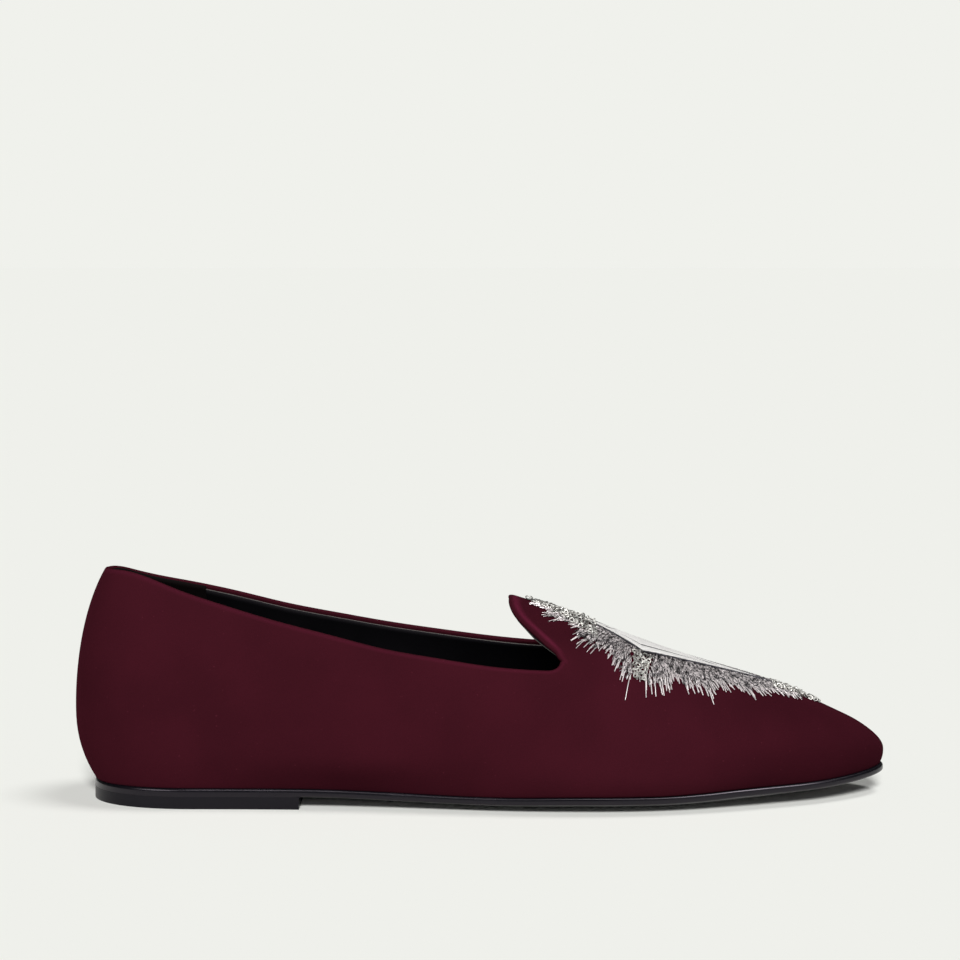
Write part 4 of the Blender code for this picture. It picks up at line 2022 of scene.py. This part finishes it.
@dataclass
class Studio:
    """Pale floor, soft light from above and from the front, and the photograph's camera.

    Attributes:
        ambient: How strongly the backdrop lights the shoe.
        aside: The camera's place along the shoe, with its distance and height, in metres.
        focal_px: Its focal length in the photograph's pixels.
        tilt: How far it is tipped down, in degrees.
        tooth_mm: Size of the paper's grain.
    """

    background: str = "f0f1ec"
    paper: str = "f5f6f1"
    floor_half: float = 30.0
    ambient: float = 0.045
    softboxes: tuple[Softbox, ...] = (
        Softbox("front_fill", Reach.MATT, 1.48, -15.0, 33.0),
        Softbox("high_front", Reach.SHOE, 1.58, 18.0, 62.0),
        Softbox("toe_side", Reach.SHOE, 0.5, 105.0, 62.0),
        Softbox("toe_fill", Reach.MATT, 0.4, 45.0, 38.0),
        Softbox("toe_strip", Reach.GLOSSY, 2.8, 51.0, 40.0),
        Softbox("heel_strip", Reach.GLOSSY, 1.0, -40.0, 38.0),
        Softbox("floor_front", Reach.FLOOR, 4.2, 0.0, 28.0, 14.0),
        Softbox("floor_side", Reach.FLOOR, 0.85, 90.0, 72.0, 20.0),
        Softbox("floor_low", Reach.FLOOR, 0.33, 0.0, 12.0, 3.0),
    )
    aside: float = -0.0003
    distance: float = 0.9818
    height: float = 0.1746
    focal_px: float = 3077.0
    tilt: float = 4.27
    sensor: float = 36.0
    clip: tuple[float, float] = (0.05, 100.0)
    tooth_mm: float = 1.5

    def build(self) -> None:
        """Builds the floor, the lights, the world and the camera."""
        floor = self.build_floor()
        for softbox in self.softboxes:
            softbox.add(floor)
        self.build_world()
        self.build_camera()

    def build_floor(self) -> Object:
        """Wide matt sweep of paper.

        Returns:
            The floor.
        """
        bm = bmesh.new()
        bmesh.ops.create_grid(bm, x_segments=1, y_segments=1, size=self.floor_half)
        mesh = bpy.data.meshes.new("floor")
        bm.to_mesh(mesh)
        bm.free()
        material, node, shader = new_tree("paper_sweep")
        place = node("TexCoord").outputs["Object"]
        tooth = node("TexNoise", {"Vector": place, "Scale": per_metre(self.tooth_mm)})
        bump = node(
            "Bump", {"Height": tooth.outputs["Fac"], "Strength": 0.05, "Distance": 0.05 * MM}
        )
        finish = {
            "Base Color": linear(self.paper),
            "Normal": bump.outputs["Normal"],
            "Roughness": 1.0,
            "Specular IOR Level": 0.0,
        }
        set_inputs(shader, finish)
        mesh.materials.append(material)
        floor = bpy.data.objects.new("floor", mesh)
        bpy.context.scene.collection.objects.link(floor)
        return floor

    def build_world(self) -> None:
        """Backdrop of the photograph's colour, which lights the shoe only weakly."""
        world = bpy.data.worlds.new("studio")
        world.use_nodes = True
        world.node_tree.nodes.clear()
        node = partial(add_node, world.node_tree)
        path = node("LightPath")
        level = node(
            "MapRange",
            {"Value": path.outputs["Is Camera Ray"], "To Min": self.ambient, "To Max": 1.0},
        )
        backdrop = node(
            "Background", {"Color": linear(self.background), "Strength": level.outputs[0]}
        )
        node("OutputWorld", {"Surface": backdrop.outputs[0]})
        bpy.context.scene.world = world
        bpy.context.scene.view_settings.view_transform = "Standard"

    def build_camera(self) -> None:
        """Long lens a metre off the lateral side, tipped down a little."""
        data = bpy.data.cameras.new("camera")
        data.sensor_width = self.sensor
        data.lens = self.focal_px / PHOTO_PX * self.sensor
        data.clip_start, data.clip_end = self.clip
        camera = bpy.data.objects.new("camera", data)
        camera.location = (self.aside, -self.distance, self.height)
        camera.rotation_euler = (math.radians(90 - self.tilt), 0.0, 0.0)
        bpy.context.scene.collection.objects.link(camera)
        bpy.context.scene.camera = camera


def main() -> None:
    """Builds the shoe and the studio."""
    logging.basicConfig(level=logging.INFO, format="%(message)s")
    last = Last()
    # Colour, roughness, grain and its depth in millimetres, and gloss
    leathers = (
        DressedLeather("calf_lining_black", "08080a", 0.6, 0.9, 0.05, 0.12),
        DressedLeather("suede_grip_brown_black", "120e0d", 0.85, 0.5, 0.06, 0.05),
        DressedLeather("sole_leather_black", "0b0b10", 0.24, 0.8, 0.015, 0.36),
        DressedLeather("heel_rubber_black", "121216", 0.36, 0.6, 0.02, 0.2),
    )
    lining, grip, sole, heel = (leather.material() for leather in leathers)
    Upper(last).build(Suede().material(), (lining, CutEdge().material(), grip))
    Bottom(last).build(sole, heel, lining)
    # Dark and light colour, roughness, and the foil's turns in millimetres
    threads = (
        MetalThread("silver_thread", "262326", "fbf3f3", 0.32, 0.5),
        MetalThread("gunmetal_cord", "141216", "55525a", 0.4, 0.6),
        MetalThread("silver_bullion", "4c4c49", "f2f0ea", 0.3, 0.3),
    )
    metals = [thread.material() for thread in threads]
    Embroidery(last).build(metals, SatinStitch().material())
    Studio().build()
    bpy.context.view_layer.update()


if __name__ == "__main__":
    main()
